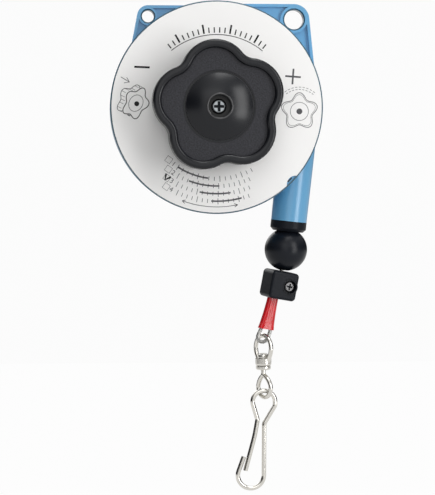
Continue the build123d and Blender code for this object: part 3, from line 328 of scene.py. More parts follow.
def behind(tree, point, facing):
    """One where the surface lies behind the plane through a point that faces this way."""
    height = add_node(tree, "ShaderNodeVectorMath", {0: from_point(tree, point), 1: tuple(facing)},
                      operation="DOT_PRODUCT")
    return add_node(tree, "ShaderNodeMath", {0: height.outputs["Value"], 1: 0.0},
                    operation="LESS_THAN").outputs[0]


def near_axis(tree, point, axis, radius):
    """One where the surface is nearer than the radius to an axis."""
    arm = add_node(tree, "ShaderNodeVectorMath", {0: from_point(tree, point), 1: tuple(axis)},
                   operation="CROSS_PRODUCT")
    distance = add_node(tree, "ShaderNodeVectorMath", {0: arm.outputs["Vector"]}, operation="LENGTH")
    return add_node(tree, "ShaderNodeMath", {0: distance.outputs["Value"], 1: radius},
                    operation="LESS_THAN").outputs[0]


def both(tree, first, second):
    """One where both masks are one."""
    return add_node(tree, "ShaderNodeMath", {0: first, 1: second}, operation="MULTIPLY").outputs[0]


def neither(tree, mask):
    """The opposite of a mask."""
    return add_node(tree, "ShaderNodeMath", {0: 1.0, 1: mask}, operation="SUBTRACT").outputs[0]


def second_tone(material, mask, colour):
    """Mix a colour over the material's own where the mask is one."""
    tree = material.node_tree
    base = tree.nodes["Principled BSDF"].inputs["Base Color"]
    mixed = add_node(tree, "ShaderNodeMix", data_type="RGBA")
    tree.links.new(mask, mixed.inputs[0])
    tree.links.new(base.links[0].from_socket, mixed.inputs[6])
    mixed.inputs[7].default_value = (*colour, 1.0)
    tree.links.new(mixed.outputs[2], base)


# %% Painted shade on the cover's rim and in the bores of the ears
to_front = Vector((0.0, -1.0, 0.0))
face_centre = Vector((face_x, face_y, face_z))
# a darker blue, painted in as shade on the cover's rim and in the ears' bores
painted_shade_blue = (0.022, 0.085, 0.135)
cover_paint = finish("cover enamel", sky_blue, 0.3, skin_scale=700, skin_depth=0.03, coat=0.35)
label_edge = face_radius - 0.05 * MM
tree = cover_paint.node_tree
# painted shade: the cover's rim outside the label is darker blue
under_label = near_axis(tree, face_centre, to_front, label_edge)
second_tone(cover_paint, neither(tree, under_label), painted_shade_blue)
# painted shade: the walls and chamfers of the ears' bores get the darker blue
ear_bores = {(0.0, 0.0, 0.0): 5.7, (-75.05, 0.0, 1.34): 3.75}
tree = blue_paint.node_tree
for bore_centre, bore_rim in ear_bores.items():
    in_bore = near_axis(tree, Vector(bore_centre) * MM, to_front, bore_rim * MM)
    second_tone(blue_paint, in_bore, painted_shade_blue)
print("darker blue on the cover's rim and in", len(ear_bores), "bores")

# %% Painted shade in the two screws' recesses
clamp_facing = Vector((0.304, -0.951, -0.056)).normalized()
clamp_screw_place = Vector((-4.11, 0.989, -137.17)) * MM
clamp_front_height = 7.0 * MM
clamp_screw_height = 6.1 * MM
knob_screw_front = Vector((face_x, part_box("knob_screw")[0].y, face_z))
knob_recess_depth = 0.25 * MM
knob_recess_reach, clamp_recess_reach = 2.65 * MM, 1.75 * MM
# painted shade: the sunken middle of each screw head is darkened
recess_shade = (0.012, 0.013, 0.015)
for material, centre, facing, reach in (
        (knob_screw_zinc, knob_screw_front - to_front * knob_recess_depth, to_front, knob_recess_reach),
        (dull_zinc, clamp_screw_place + clamp_facing * clamp_screw_height, clamp_facing, clamp_recess_reach)):
    tree = material.node_tree
    sunk, central = behind(tree, centre, facing), near_axis(tree, centre, facing, reach)
    second_tone(material, both(tree, sunk, central), recess_shade)
print("knob screw's face at", round(knob_screw_front.y, 5))

# %% [markdown]
# The knob's two surfaces
# The mould of the knob's floor was spark-eroded, so the floor is matt and grainy, while its rim and dome are
# polished.
# Both are one moulding, so one material holds both: a mask by depth tells the flat floor from what stands
# proud of it.
# A mask by radius keeps the lighter speckle off the dome and off a narrow ring of floor round its foot, which
# stays dark as painted shade.

# %% The knob's moulding
knob_floor_y = -0.0385
floor_tolerance = 0.2 * MM
# the outer edge of a ring of painted shade on the floor round the dome
shade_ring_edge = 18.3 * MM
polish, spark_grain = 0.26, 0.52
grain_depth = 0.12 * MM
knob_moulding = finish("knob moulding", (0.005, 0.0058, 0.0082), polish, specular=0.32)
tree = knob_moulding.node_tree
shader = tree.nodes["Principled BSDF"]
place = add_node(tree, "ShaderNodeTexCoord")
axes = add_node(tree, "ShaderNodeSeparateXYZ", {"Vector": place.outputs["Object"]})
on_floor = add_node(tree, "ShaderNodeMath", {0: axes.outputs["Y"], 1: knob_floor_y, 2: floor_tolerance},
                    operation="COMPARE")
grain = add_node(tree, "ShaderNodeGroup", {"Scale": 1500.0}, node_tree=skin)
grained = add_node(tree, "ShaderNodeMath", {0: grain.outputs["Height"], 1: on_floor.outputs[0]},
                   operation="MULTIPLY")
relief = add_node(tree, "ShaderNodeBump", {"Height": grained.outputs[0], "Distance": grain_depth})
tree.links.new(relief.outputs["Normal"], shader.inputs["Normal"])
gloss = add_node(tree, "ShaderNodeMath",
                 {0: on_floor.outputs[0], 1: spark_grain - polish, 2: polish}, operation="MULTIPLY_ADD")
tree.links.new(gloss.outputs[0], shader.inputs["Roughness"])
speckle = add_node(tree, "ShaderNodeGroup", {
    "Colour": (0.0185, 0.0187, 0.0235, 1.0), "Colour Shift": 2.6, "Scale": 1300.0}, node_tree=unevenness)
# painted shade: inside this radius the floor keeps the darker base colour
dome_and_shade_ring = near_axis(tree, face_centre, to_front, shade_ring_edge)
speckled = both(tree, on_floor.outputs[0], neither(tree, dome_and_shade_ring))
second_tone(knob_moulding, speckled, (0.0, 0.0, 0.0))
tree.links.new(speckle.outputs["Colour"], shader.inputs["Base Color"].links[0].from_node.inputs[7])

# %% [markdown]
# Which piece gets which finish
# On the real tool the housing is painted, the knob and clamp are moulded, and what hangs below is
# plated. A CAD piece whose shape is right keeps its mesh and only gets a better material. A table
# by finish shows at a glance what is made of the same stuff.

# %% Paint the CAD pieces
by_finish = {
    blue_paint: ["rear_housing"],
    cover_paint: ["front_cover"],
    white_label: ["face_label"],
    zinc: ["cover_screws", "ratchet_screws", "drum_screws", "rope_nipple", "clamp_nut"],
    knob_screw_zinc: ["knob_screw"],
    dull_zinc: ["clamp_screw"],
    hard_steel: ["ratchet_ring", "thrust_washer", "arbor", "ratchet_clutch", "clutch_pin", "drum_cover",
                 "spring_anchor"],
    bronze: ["front_bush", "rear_bush", "drum_front_bush", "drum_rear_bush"],
    black_nylon: ["nozzle_bush", "clamp_front", "clamp_back"],
    spring_steel: ["release_spring", "power_spring"],
    knob_moulding: ["knob"],
    drum_alloy: ["drum"],
    rope_wire: ["rope_windings", "rope_run", "rope_loop"],
    black_ball: ["ball_stop"],
    red_sleeve: ["rope_sleeve"],
    nickel: ["swivel_bow", "swivel_eye", "snap_hook", "hook_gate"],
}


def paint(piece, material):
    """Give a piece one material."""
    piece.data.materials.clear()
    piece.data.materials.append(material)


for material, names in by_finish.items():
    for name in names:
        paint(nodes[name], material)
print("painted", sum(len(names) for names in by_finish.values()), "of", len(nodes), "CAD pieces")

# %% [markdown]
# Print on the face
# The print is ink on the label, so it is nearly flat. It could be drawn by a material, but a mesh
# keeps its edges sharp at any distance. A stroke is made as a line of edges, turned into a curve
# with a round section, turned back into a mesh and flattened on the label. Half of it stands proud
# of the label by a few hundredths of a millimetre, which is enough to show.

# %% Ink strokes
ink_height = 0.04


def ink_from_edges(piece, width):
    """Give a piece's edges a width, flattened on the label."""
    start_clean()
    bpy.context.view_layer.objects.active = piece
    piece.select_set(True)
    bpy.ops.object.convert(target="CURVE")
    piece = bpy.context.object
    piece.data.bevel_depth = width * MM / 2
    piece.data.bevel_resolution = 1
    piece.data.use_fill_caps = True
    bpy.ops.object.convert(target="MESH")
    piece = bpy.context.object
    for vertex in piece.data.vertices:
        vertex.co.y = face_y + (vertex.co.y - face_y) * 2 * ink_height / width
    return piece


def ink_path(points, width, closed=False):
    """A printed line through points of the face, in millimetres right and up."""
    start_clean()
    bpy.ops.mesh.primitive_circle_add(vertices=max(3, len(points)), radius=MM)
    piece = bpy.context.object
    bpy.ops.object.mode_set(mode="EDIT")
    mesh = bmesh.from_edit_mesh(piece.data)
    mesh.verts.ensure_lookup_table()
    bmesh.ops.delete(mesh, geom=mesh.verts[len(points):], context="VERTS")
    mesh.verts.ensure_lookup_table()
    for vertex, point in zip(mesh.verts, points):
        vertex.co = on_face(*point)
    if len(points) > 2 and not closed:
        ends = {mesh.verts[0], mesh.verts[len(points) - 1]}
        closing = [edge for edge in mesh.edges if ends == set(edge.verts)]
        bmesh.ops.delete(mesh, geom=closing, context="EDGES_FACES")
    bmesh.update_edit_mesh(piece.data)
    bpy.ops.object.mode_set(mode="OBJECT")
    return ink_from_edges(piece, width)


def ink_arc(radius, start, end, width, centre=(0.0, 0.0), steps=24):
    """A printed arc round a point of the face."""
    angles = [radians(start + (end - start) * i / (steps - 1)) for i in range(steps)]
    return ink_path([(centre[0] + radius * cos(a), centre[1] + radius * sin(a)) for a in angles], width)


def ink_dot(right, up, radius):
    """A printed disc."""
    start_clean()
    bpy.ops.mesh.primitive_circle_add(vertices=24, radius=radius * MM, fill_type="NGON",
                                      location=on_face(right, up), rotation=(pi / 2, 0.0, 0.0))
    bpy.ops.object.mode_set(mode="EDIT")
    bpy.ops.mesh.extrude_region_move(TRANSFORM_OT_translate={"value": (0.0, -ink_height * MM, 0.0)})
    bpy.ops.object.mode_set(mode="OBJECT")
    return settle(bpy.context.object, "ink_dot")


def ink_number(text, right, up, size, turn):
    """A printed number, turned to stand on an arc."""
    start_clean()
    bpy.ops.object.text_add(location=on_face(right, up), rotation=(pi / 2, -radians(turn), 0.0))
    number = bpy.context.object
    number.data.body = text
    number.data.size = size * MM
    number.data.extrude = ink_height * MM / 2
    number.data.align_x = "CENTER"
    number.data.align_y = "CENTER"
    return settle(number, "ink_number")


# %% [markdown]
# Signs and scales
# A minus and a plus stand on either side, to say which way the knob slackens and tightens the
# spring. Between them runs a scale of strokes, and below the knob four rows of a load chart bend
# round the disc: a box to tick, a number, a row of ticks and a bar that shows the row's share of
# the range. They differ only in a few numbers, so loops draw them from short lists.

# %% The minus, the plus and the upper scale
minus_width, plus_width = 1.15, 1.05
black_print = [ink_path([(-41.8, 20.3), (-34.0, 20.0)], minus_width)]
grey_print = [ink_path([(34.7, 15.9), (42.6, 15.3)], plus_width),
              ink_path([(38.3, 11.7), (38.9, 19.6)], plus_width)]
upper_scale_radius = 37.6
long_length, long_width = 4.6, 1.05
short_length, short_width = 2.8, 0.7
for count, angle in enumerate(range(52, 129, 4)):
    long = count % 5 == 2
    ends = spoke(upper_scale_radius, upper_scale_radius + (long_length if long else short_length), angle)
    black_print.append(ink_path(ends, long_width if long else short_width))
base_gap, base_width = 0.9, 0.45
black_print.append(ink_arc(upper_scale_radius - base_gap, 51, 129, base_width, steps=40))
print("upper scale:", len(black_print) - 2, "strokes")

# %% The load chart
row_radii = [36.2, 39.9, 43.8, 47.6]
row_starts = [232.6, 236.2, 238.4, 240.8]
row_ends = [299.0, 294.4, 292.0, 289.8]
box_places = [(-24.4, -26.5), (-24.6, -31.3), (-25.4, -35.6), (-25.7, -40.1)]
box_side, box_width = 3.0, 0.3
box_turn = radians(-36)
ticked_row, check_width = 2, 1.3
number_size, number_gap = 3.6, 4.2
ticks, tick_width = 15, 0.36
bar_share, bar_step, bar_width = 0.42, 0.16, 0.95
for row, (radius, first, last) in enumerate(zip(row_radii, row_starts, row_ends)):
    corners = []
    for right, up in ((-1, -1), (-1, 1), (1, 1), (1, -1)):
        x, z = right * box_side / 2, up * box_side / 2
        corners.append((box_places[row][0] + x * cos(box_turn) - z * sin(box_turn),
                        box_places[row][1] + x * sin(box_turn) + z * cos(box_turn)))
    grey_print.append(ink_path(corners, box_width, closed=True))
    if row == ticked_row:
        left, right = corners[1], corners[2]
        foot = ((corners[0][0] + corners[3][0]) / 2, (corners[0][1] + corners[3][1]) / 2 + 0.3)
        black_print.append(ink_path([left, foot, right], check_width))
    turn = radians(first)
    grey_print.append(
        ink_number(str(row + 1), radius * cos(turn), radius * sin(turn), number_size, first - 270))
    first += number_gap
    for count in range(ticks):
        angle = first + (last - first) * count / (ticks - 1)
        tall = 1.5 if count % 4 == 0 else 1.0
        grey_print.append(ink_path(spoke(radius - tall, radius + tall, angle), tick_width))
    bar_first = first + (last - first) * bar_step * row
    bar_last = bar_first + (last - first) * bar_share
    grey_print.append(ink_arc(radius - 0.1, bar_first, bar_last, bar_width, steps=16))
print("load chart:", len(row_radii), "rows")

# %% The arrow below the chart
range_radius, range_first, range_last = 50.4, 249.5, 282.0
arrow_width, barb_rise, barb_turn = 0.4, 0.9, 1.8
grey_print.append(ink_arc(range_radius, range_first, range_last, arrow_width, steps=30))
for end_angle, side in ((range_first, 1), (range_last, -1)):
    tip = spoke(range_radius, range_radius, end_angle)[0]
    barbs = spoke(range_radius - barb_rise, range_radius + barb_rise, end_angle + barb_turn * side)
    grey_print += [ink_path([tip, barb], arrow_width) for barb in barbs]
print("arrow over", range_last - range_first, "degrees")

# %% [markdown]
# Knob pictograms
# Two small drawings show the knob: on the right as it is turned, with a broken arc above it, and
# on the left pulled out and tipped. The lobed outline is a circle whose radius swells five times.
# The tipped knob has two such outlines with short lines between them, and the far one is drawn only
# where the near one doesn't hide it.

# %% The knob's outline in ink
def lobed_radius(angle, radius, swell):
    """The outline's own radius at an angle, before it is narrowed or leaned."""
    return radius + swell * cos(5 * (angle - pi / 2))


def lobed_outline(centre, radius, swell, lean=0.0, narrow=1.0, steps=60):
    """Points of a five-lobed outline, narrowed and leaned as if it were tipped."""
    points = []
    for i in range(steps):
        angle = tau * i / steps
        r = lobed_radius(angle, radius, swell)
        x, z = narrow * r * cos(angle), r * sin(angle)
        points.append((centre[0] + x * cos(lean) - z * sin(lean), centre[1] + x * sin(lean) + z * cos(lean)))
    return points


def behind_front(point, centre, radius, swell, lean, narrow):
    """Whether a point of the far outline is hidden by the near one."""
    x, z = point[0] - centre[0], point[1] - centre[1]
    across, along = (x * cos(lean) + z * sin(lean)) / narrow, -x * sin(lean) + z * cos(lean)
    return (across**2 + along**2) ** 0.5 < lobed_radius(atan2(along, across), radius, swell)


print("an outline has", len(lobed_outline((0.0, 0.0), 1.0, 0.1)), "points")

# %% The knob that turns, on the right
right_sign = (41.9, -2.0)
for radius, swell, width in ((8.15, 1.35, 0.42), (7.35, 1.15, 0.24), (4.6, 0.0, 0.3)):
    grey_print.append(ink_path(lobed_outline(right_sign, radius, swell), width, closed=True))
grey_print.append(ink_dot(right_sign[0], right_sign[1], 1.5))
dashes, dash_pitch, dash_length, dash_width = 9, 9, 5.5, 0.3
for arc_radius in (11.1, 12.3):
    for dash in range(dashes):
        start = 50 + dash_pitch * dash
        grey_print.append(
            ink_arc(arc_radius, start, start + dash_length, dash_width, centre=right_sign, steps=4))
print("right pictogram with", 2 * dashes, "dashes")

# %% The knob pulled out, on the left
left_sign = (-41.0, 2.0)
sign_radius, sign_swell, lean, narrow = 7.4, 1.15, radians(-28), 0.74
near_width, far_width, flank_width = 0.5, 0.35, 0.22
near_points = lobed_outline(left_sign, sign_radius, sign_swell, lean, narrow)
black_print.append(ink_path(near_points, near_width, closed=True))
far_sign = (left_sign[0] - 2.8, left_sign[1] + 1.5)
far_points = lobed_outline(far_sign, sign_radius, sign_swell, lean, narrow, steps=120)
far_margin = 0.3
stretches = [[]]
for point in far_points + far_points[:1]:
    if behind_front(point, left_sign, sign_radius + far_margin, sign_swell, lean, narrow):
        stretches.append([])
    else:
        stretches[-1].append(point)
black_print += [ink_path(stretch, far_width) for stretch in stretches if len(stretch) > 2]
for point in lobed_outline(far_sign, sign_radius, sign_swell, lean, narrow, steps=24):
    near = (point[0] + 2.0, point[1] - 1.0)
    if not behind_front(near, left_sign, sign_radius, sign_swell, lean, narrow):
        black_print.append(ink_path([point, near], flank_width))
grey_print.append(ink_path(lobed_outline(left_sign, 4.3, 0.0, lean, 0.8, steps=36), 0.32, closed=True))
black_print.append(ink_dot(left_sign[0] + 0.4, left_sign[1] - 0.3, 1.25))
arrow_tail, arrow_tip = (-48.6, 15.2), (-44.2, 12.6)
grey_print.append(ink_path([arrow_tail, arrow_tip], arrow_width))
grey_print.append(ink_path([(-45.6, 14.9), arrow_tip, (-47.0, 12.2)], arrow_width))
print("left pictogram with", sum(len(stretch) > 2 for stretch in stretches), "stretches of far outline")

# %% One piece of ink for each colour
black_strokes, grey_strokes = len(black_print), len(grey_print)
black_ink_piece = join(black_print, "black_print_marks")
grey_ink_piece = join(grey_print, "grey_print_marks")
for piece, material in ((black_ink_piece, black_ink), (grey_ink_piece, grey_ink)):
    paint(piece, material)
    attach(piece, "housing")
print("black marks:", black_strokes, "strokes,", len(black_ink_piece.data.polygons), "faces")
print("grey marks:", grey_strokes, "strokes,", len(grey_ink_piece.data.polygons), "faces")

# %% [markdown]
# The slot in the rim pocket
# Beside the pocket at the rim, the cover has a short slot that lies in shade.
# A cut this fine would hardly show, so its shade is painted as a dark stroke like the ink, but it belongs to
# the cover and lies a millimetre deeper.

# %% The slot's painted shade
slot_radius, slot_first, slot_last, slot_width = 52.2, 313.7, 316.9, 0.9
slot_depth = 1.0 * MM
pocket_slot_shade = ink_arc(slot_radius, slot_first, slot_last, slot_width, steps=5)
for vertex in pocket_slot_shade.data.vertices:
    vertex.co.y += slot_depth
pocket_slot_shade = settle(pocket_slot_shade, "pocket_slot_shade")
paint(pocket_slot_shade, painted_slot_shade)
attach(pocket_slot_shade, "housing")
print("slot from", slot_first, "to", slot_last, "degrees")

# %% [markdown]
# Two fine rings
# The lip of the knob's well is polished by the driver and catches the light.
# A thin groove runs round the clamp's screw, and its shade is painted as a black ring.
# The CAD meshes stay as they are, so both are rings of their own: a torus is added, flattened in edit mode,
# and turned to face the way its surface does.

# %% The well's lip and the clamp's groove
def thin_ring(name, centre, facing, radius, thickness, flatness):
    """A flattened ring whose axis points along facing."""
    start_clean()
    bpy.ops.mesh.primitive_torus_add(major_radius=radius, minor_radius=thickness / 2,
                                     major_segments=72, minor_segments=10)
    ring = bpy.context.object
    bpy.ops.object.mode_set(mode="EDIT")
    bpy.ops.transform.resize(value=(1.0, 1.0, flatness))
    bpy.ops.object.mode_set(mode="OBJECT")
    ring.location = centre
    ring.rotation_euler = facing.to_track_quat("Z", "Y").to_euler()
    ring = settle(ring, name)
    bpy.ops.object.shade_smooth()
    return ring


knob_front_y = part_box("knob")[0].y
lip_sink, lip_radius, lip_width = 0.08 * MM, 6.2 * MM, 0.8 * MM
lip_place = Vector((face_x, knob_front_y + lip_sink, face_z))
well_lip = thin_ring("well_lip", lip_place, to_front, lip_radius, lip_width, 0.45)
paint(well_lip, black_lip)
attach(well_lip, "arbor_group")
# painted shade: a black ring lies on the clamp where the groove's shade falls
groove_radius, groove_width = 4.05 * MM, 0.35 * MM
groove_place = clamp_screw_place + clamp_facing * clamp_front_height
clamp_groove_shade = thin_ring("clamp_groove_shade", groove_place, clamp_facing, groove_radius, groove_width, 0.4)
paint(clamp_groove_shade, painted_groove_shade)
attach(clamp_groove_shade, "rope_end")
print("lip at", round(lip_place.y, 5), "groove at", tuple(round(c, 5) for c in groove_place))

# %% [markdown]
# Wire rope
# The rope is six strands laid round a core. A bump on one tube would look laid only from afar, so
# each strand is a thin tube on a helix that follows the rope's route, and the twist is real. The
# route is a smooth curve drawn by the CAD rope's turning points. Two of them, at the foot of the
# loop, are moved a little, to keep the strands clear of the swivel when it swings.

# %% The rope's route
steps_between = 24


def route_points(points, spacing):
    """Evenly spaced points of a smooth curve whose control points are given in millimetres."""
    curve = bpy.data.curves.new("route", "CURVE")
    curve.dimensions = "3D"
    spline = curve.splines.new("NURBS")
    spline.points.add(len(points) - 1)
    for control, point in zip(spline.points, points):
        control.co = (point[0] * MM, point[1] * MM, point[2] * MM, 1.0)
    spline.order_u = 3
    spline.use_endpoint_u = True
    spline.resolution_u = steps_between
    carrier = bpy.data.objects.new("route", curve)
    bpy.context.scene.collection.objects.link(carrier)
    bpy.context.view_layer.update()
    line = bpy.data.meshes.new_from_object(carrier)
    raw = [v.co.copy() for v in line.vertices]
    bpy.data.objects.remove(carrier)
    even = [raw[0]]
    carry = 0.0
    for a, b in zip(raw, raw[1:]):
        run = (b - a).length
        while run > 0 and carry + run >= spacing:
            share = (spacing - carry) / run
            a = a.lerp(b, share)
            even.append(a.copy())
            run = (b - a).length
            carry = 0.0
        carry += run
    even.append(raw[-1])
    return even


# %% The strands round it
rope_radius = 1.0 * MM
rope_lay = 9.5 * MM
strand_radius = 0.36 * MM
strand_count = 6
any_side = Vector((0.3, 1.0, 0.2))


def strand_rope(name, points, spacing=0.45 * MM):
    """Strands laid round a core, along a route."""
    path = route_points(points, spacing)
    side = (path[1] - path[0]).normalized().cross(any_side).normalized()
    frames = []
    travelled = 0.0
    for i, point in enumerate(path):
        ahead = path[min(i + 1, len(path) - 1)] - path[max(i - 1, 0)]
        ahead.normalize()
        side = (side - ahead * side.dot(ahead)).normalized()
        travelled += (point - path[i - 1]).length if i else 0.0
        frames.append((point, side.copy(), ahead.cross(side), travelled))
    curve = bpy.data.curves.new(name, "CURVE")
    curve.dimensions = "3D"
    curve.bevel_depth = strand_radius
    curve.bevel_resolution = 1
    curve.use_fill_caps = True
    for strand in range(strand_count + 1):
        reach = 0.0 if strand == strand_count else rope_radius - strand_radius
        spline = curve.splines.new("POLY")
        spline.points.add(len(frames) - 1)
        for control, (point, across, over, run) in zip(spline.points, frames):
            turn = tau * (run / rope_lay + strand / strand_count)
            spot = point + (across * cos(turn) + over * sin(turn)) * reach
            control.co = (*spot, 1.0)
    rope = bpy.data.objects.new(name, curve)
    bpy.context.scene.collection.objects.link(rope)
    rope = settle(rope, name)
    start_clean()
    bpy.context.view_layer.objects.active = rope
    rope.select_set(True)
    bpy.ops.object.shade_smooth_by_angle(angle=radians(60))
    paint(rope, rope_wire)
    print(name, len(path), "steps,", len(rope.data.polygons), "faces")
    return rope


# %% [markdown]
# The two ropes that show
# The loop hangs below the ball and moves with the rope's end.
# The run from the drum to the ball is drawn out of the nozzle, so a rigid copy would leave a gap.
# Here it is one mesh, left in the frame's place and attached to no moving piece.

# %% Lay the rope
loop_route = [
    (-2.57, 0.0, -107.44),
    (-4.14, 0.0, -122.35),
    (-9.35, -0.36, -142.66),
    (-12.3, 0.05, -166.75),
    (-19.85, -2.4, -165.5),
    (-15.58, -1.49, -157.16),
    (-11.28, -1.0, -142.3),
    (-9.58, -1.0, -133.11),
]
run_route = [
    (3.49, -5.12, -50.26),
    (1.82, -5.12, -66.17),
    (-2.0, 0.0, -101.97),
    (-2.57, 0.0, -107.44),
]
loop_rope = strand_rope("rope_end_strands", loop_route)
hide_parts("rope_loop")
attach(loop_rope, "rope_end")
run_rope = strand_rope("rope_run_strands", run_route)
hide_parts("rope_run")
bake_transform(run_rope)

# %% [markdown]
# The release spring
# Pressing the knob shortens the small spring behind it: one end stays on the housing's bush and the other
# goes in with the washer.
# A rigid copy would be pushed through the housing.
# Here a merged, smoothed copy of its coil takes the CAD spring's place and is attached to no moving piece.

# %% A smooth copy of the release spring
start_clean()
release_coil = bpy.data.objects.new("release_coil", nodes["release_spring"].data.copy())
bpy.context.scene.collection.objects.link(release_coil)
bpy.context.view_layer.objects.active = release_coil
release_coil.select_set(True)
bpy.ops.object.mode_set(mode="EDIT")
bpy.ops.mesh.select_all(action="SELECT")
bpy.ops.mesh.remove_doubles(threshold=0.001 * MM)
bpy.ops.object.mode_set(mode="OBJECT")
bpy.ops.object.shade_smooth_by_angle(angle=radians(40))
paint(release_coil, spring_steel)
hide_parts("release_spring")
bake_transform(release_coil)

# %% [markdown]
# The red sleeve
# The sleeve is shrunk on with heat, so it takes the shape of the two ropes inside it, with a
# shallow valley between them. A cylinder is cut into rings, and each ring is drawn out to the
# outline of two ropes that part towards the loop.

# %% Shrink the sleeve
sleeve_top = Vector((-10.5, -0.68, -143.46)) * MM
sleeve_foot = Vector((-14.19, -0.91, -159.46)) * MM
sleeve_across = Vector((0.9351, 0.309, -0.1733))
sleeve_axis = (sleeve_foot - sleeve_top).normalized()
sleeve_over = sleeve_axis.cross(sleeve_across).normalized()
sleeve_rings, sleeve_sides = 22, 48
cover_radius = 1.52 * MM
apart_top, apart_foot, parting = 1.03, 2.35, 1.6
flare_from, flare_share = 0.86, 0.1
valley_share, squareness = 0.16, 1.6
start_clean()
bpy.ops.mesh.primitive_cylinder_add(vertices=sleeve_sides, radius=1.0, depth=1.0, end_fill_type="NOTHING")
sleeve = bpy.context.object
bpy.ops.object.mode_set(mode="EDIT")
for ring in range(1, sleeve_rings):
    bpy.ops.mesh.select_all(action="SELECT")
    bpy.ops.mesh.bisect(plane_co=(0.0, 0.0, ring / sleeve_rings - 0.5), plane_no=(0.0, 0.0, 1.0))
bpy.ops.object.mode_set(mode="OBJECT")
for vertex in sleeve.data.vertices:
    along = 0.5 - vertex.co.z
    angle = atan2(vertex.co.y, vertex.co.x)
    spread = (apart_top + (apart_foot - apart_top) * along ** parting) * MM
    flare = 1.0 + flare_share * max(0.0, along - flare_from) / (1.0 - flare_from)
    x = spread * max(-1.0, min(1.0, squareness * cos(angle))) + cover_radius * flare * cos(angle)
    valley = 1.0 - valley_share * max(0.0, 1.0 - abs(x) / spread) * (1.0 - along * 0.4)
    y = cover_radius * flare * sin(angle) * valley
    vertex.co = sleeve_top.lerp(sleeve_foot, along) + sleeve_across * x + sleeve_over * y
sleeve = settle(sleeve, "shrunk_sleeve")
print("sleeve:", len(sleeve.data.polygons), "faces round two ropes")

# %% Give the sleeve its wall
wall = sleeve.modifiers.new("wall", "SOLIDIFY")
wall.thickness = 0.4 * MM
wall.offset = -1.0
bpy.ops.object.mode_set(mode="EDIT")
bpy.ops.mesh.select_all(action="SELECT")
bpy.ops.mesh.normals_make_consistent(inside=False)
bpy.ops.object.mode_set(mode="OBJECT")
bpy.ops.object.modifier_apply(modifier=wall.name)
bpy.ops.object.shade_smooth_by_angle(angle=radians(50))
paint(sleeve, red_sleeve)
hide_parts("rope_sleeve")
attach(sleeve, "rope_end")
print("sleeve with its wall:", len(sleeve.data.polygons), "faces")

# %% [markdown]
# The floor
# The portrait is a product picture on white. The object hangs, so its pale floor lies below the
# longest reach of the rope and is wide enough for a camera on any side. A wall behind the object
# would hide it from a camera on the other side, so there is none.

# %% A pale floor below the hook's longest reach
rope_travel, floor_gap = 1.6, 0.1
floor_side = 40.0
start_clean()
floor_z = cad_box[0][2] - rope_travel - floor_gap
bpy.ops.mesh.primitive_plane_add(size=floor_side, location=(face_x, 0.0, floor_z))
floor = settle(bpy.context.object, "studio_floor")
print("floor at", round(floor_z, 3), "m")

# %% [markdown]
# A white that needs no light
# More light on the floor would also be more light on the object, and bleach it. So the floor is a
# matt paint that takes a shadow, and most of what the camera and the reflections see of it is a
# plain white of its own.

# %% The floor's white
seen_as_white = 0.97
floor_white = bpy.data.materials.new("white floor")
floor_white.use_nodes = True
tree = floor_white.node_tree
shader = tree.nodes["Principled BSDF"]
shader.inputs["Base Color"].default_value = (0.86, 0.86, 0.86, 1.0)
shader.inputs["Roughness"].default_value = 0.9
glow = add_node(tree, "ShaderNodeEmission", {"Color": (1.0, 1.0, 1.0, 1.0), "Strength": 1.0})
rays = add_node(tree, "ShaderNodeLightPath")
seen = add_node(tree, "ShaderNodeMath", {0: rays.outputs["Is Camera Ray"], 1: rays.outputs["Is Glossy Ray"]},
                operation="MAXIMUM")
share = add_node(tree, "ShaderNodeMath", {0: seen.outputs[0], 1: seen_as_white}, operation="MULTIPLY")
blend_white = add_node(tree, "ShaderNodeMixShader",
                       {0: share.outputs[0], 1: shader.outputs[0], 2: glow.outputs[0]})
tree.links.new(blend_white.outputs[0], tree.nodes["Material Output"].inputs["Surface"])
paint(floor, floor_white)
print("floor:", seen_as_white, "of what the camera sees is its own white")

# %% [markdown]
# The lamps
# Soft boxes give the even light of a product picture. A tall one on the right and a strong one
# above give the light its direction, a weaker one just above the camera keeps the shadows soft, and
# one behind shows the back. A sun or bare bulbs would draw hard shadows on the face.

# %% Soft boxes round the object
def soft_lamp(name, position, aim, size, watts):
    """A soft box, wide and high as given, that points at a place."""
    start_clean()
    bpy.ops.object.light_add(type="AREA", location=position)
    lamp = bpy.context.object
    lamp.name = name
    lamp.data.shape = "RECTANGLE"
    lamp.data.size, lamp.data.size_y = size
    lamp.data.energy = watts
    lamp.visible_camera = False
    lamp.rotation_euler = (Vector(aim) - Vector(position)).to_track_quat("-Z", "Y").to_euler()
    return lamp


lamp_aim = on_face(0.0, -30.0)
lamps = [soft_lamp(name, lamp_aim + Vector(offset), lamp_aim, size, watts) for name, offset, size, watts in (
    ("key lamp", (0.5, -0.5, 0.12), (0.28, 0.7), 3.2),
    ("fill lamp", (-0.2, -1.1, 0.3), (0.8, 0.8), 2.2),
    ("top lamp", (0.15, -0.3, 1.1), (0.6, 0.6), 4.8),
    ("back lamp", (-0.5, 1.2, 0.5), (0.8, 0.8), 4.0))]
print(len(lamps), "lamps,", round(sum(lamp.data.energy for lamp in lamps), 1), "W together")

# %% [markdown]
# What the metal sees
# Polished metal shows its surroundings, so a plain white world makes it look like plaster. The
# world lights every piece evenly, and the camera sees it plain white, but a ray that leaves a
# glossy surface finds what a photographer puts round a product: a weaker white in front, behind
# and above, and dark cards on both sides.

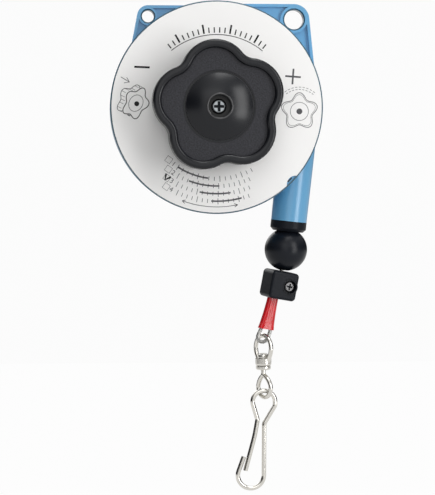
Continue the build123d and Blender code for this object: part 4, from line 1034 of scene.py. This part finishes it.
# %% The world, with dark cards for the reflections
world = bpy.context.scene.world or bpy.data.worlds.new("studio")
bpy.context.scene.world = world
world.use_nodes = True
sky = world.node_tree
even_light, card_dark, front_white = 0.4, 0.03, 0.6
card_from, card_to = 0.15, 0.5
above_from, above_to, above_white = 0.25, 0.6, 0.6
direction = add_node(sky, "ShaderNodeTexCoord")
axes = add_node(sky, "ShaderNodeSeparateXYZ", {"Vector": direction.outputs["Generated"]})
sideways = add_node(sky, "ShaderNodeMath", {0: axes.outputs["X"]}, operation="ABSOLUTE")
cards = add_node(sky, "ShaderNodeMapRange", {
    "Value": sideways.outputs[0], "From Min": card_from, "From Max": card_to,
    "To Min": front_white, "To Max": card_dark})
above = add_node(sky, "ShaderNodeMapRange", {
    "Value": axes.outputs["Z"], "From Min": above_from, "From Max": above_to,
    "To Min": 0.0, "To Max": above_white})
studio = add_node(sky, "ShaderNodeMath", {0: cards.outputs[0], 1: above.outputs[0]}, operation="ADD")
ray = add_node(sky, "ShaderNodeLightPath")
strength = add_node(sky, "ShaderNodeMix", {
    0: ray.outputs["Is Glossy Ray"], 2: even_light, 3: studio.outputs[0]})
seen_white = add_node(sky, "ShaderNodeMix", {
    0: ray.outputs["Is Camera Ray"], 2: strength.outputs[0], 3: seen_as_white})
background = sky.nodes["Background"]
background.inputs["Color"].default_value = (1.0, 1.0, 1.0, 1.0)
sky.links.new(seen_white.outputs[0], background.inputs["Strength"])
print("world:", even_light, "for light,", seen_as_white, "for the camera")

# %% [markdown]
# The camera
# It stands a little to the left of the object, more than a metre away, with a long lens, which
# keeps the disc nearly round and the edges of the can nearly parallel, as a closer lens would not.

# %% Camera at the picture's angle
start_clean()
camera_place = Vector((-117.23, -1116.65, -78.17)) * MM
camera_aim = Vector((-40.5465, -20.0, -116.564)) * MM
bpy.ops.object.camera_add(location=camera_place)
camera = bpy.context.object
camera.rotation_euler = (camera_aim - camera_place).to_track_quat("-Z", "Y").to_euler()
camera.data.sensor_fit = "VERTICAL"
camera.data.sensor_height = 36.0
camera.data.lens = 157.8
bpy.context.scene.camera = camera
bpy.context.scene.view_settings.view_transform = "Standard"
print("camera", round((camera_aim - camera_place).length, 3), "m from its aim")

# %% [markdown]
# The CAD model's box, measured at the start, is printed.

# %% The CAD model's box
print("CAD box", cad_box)
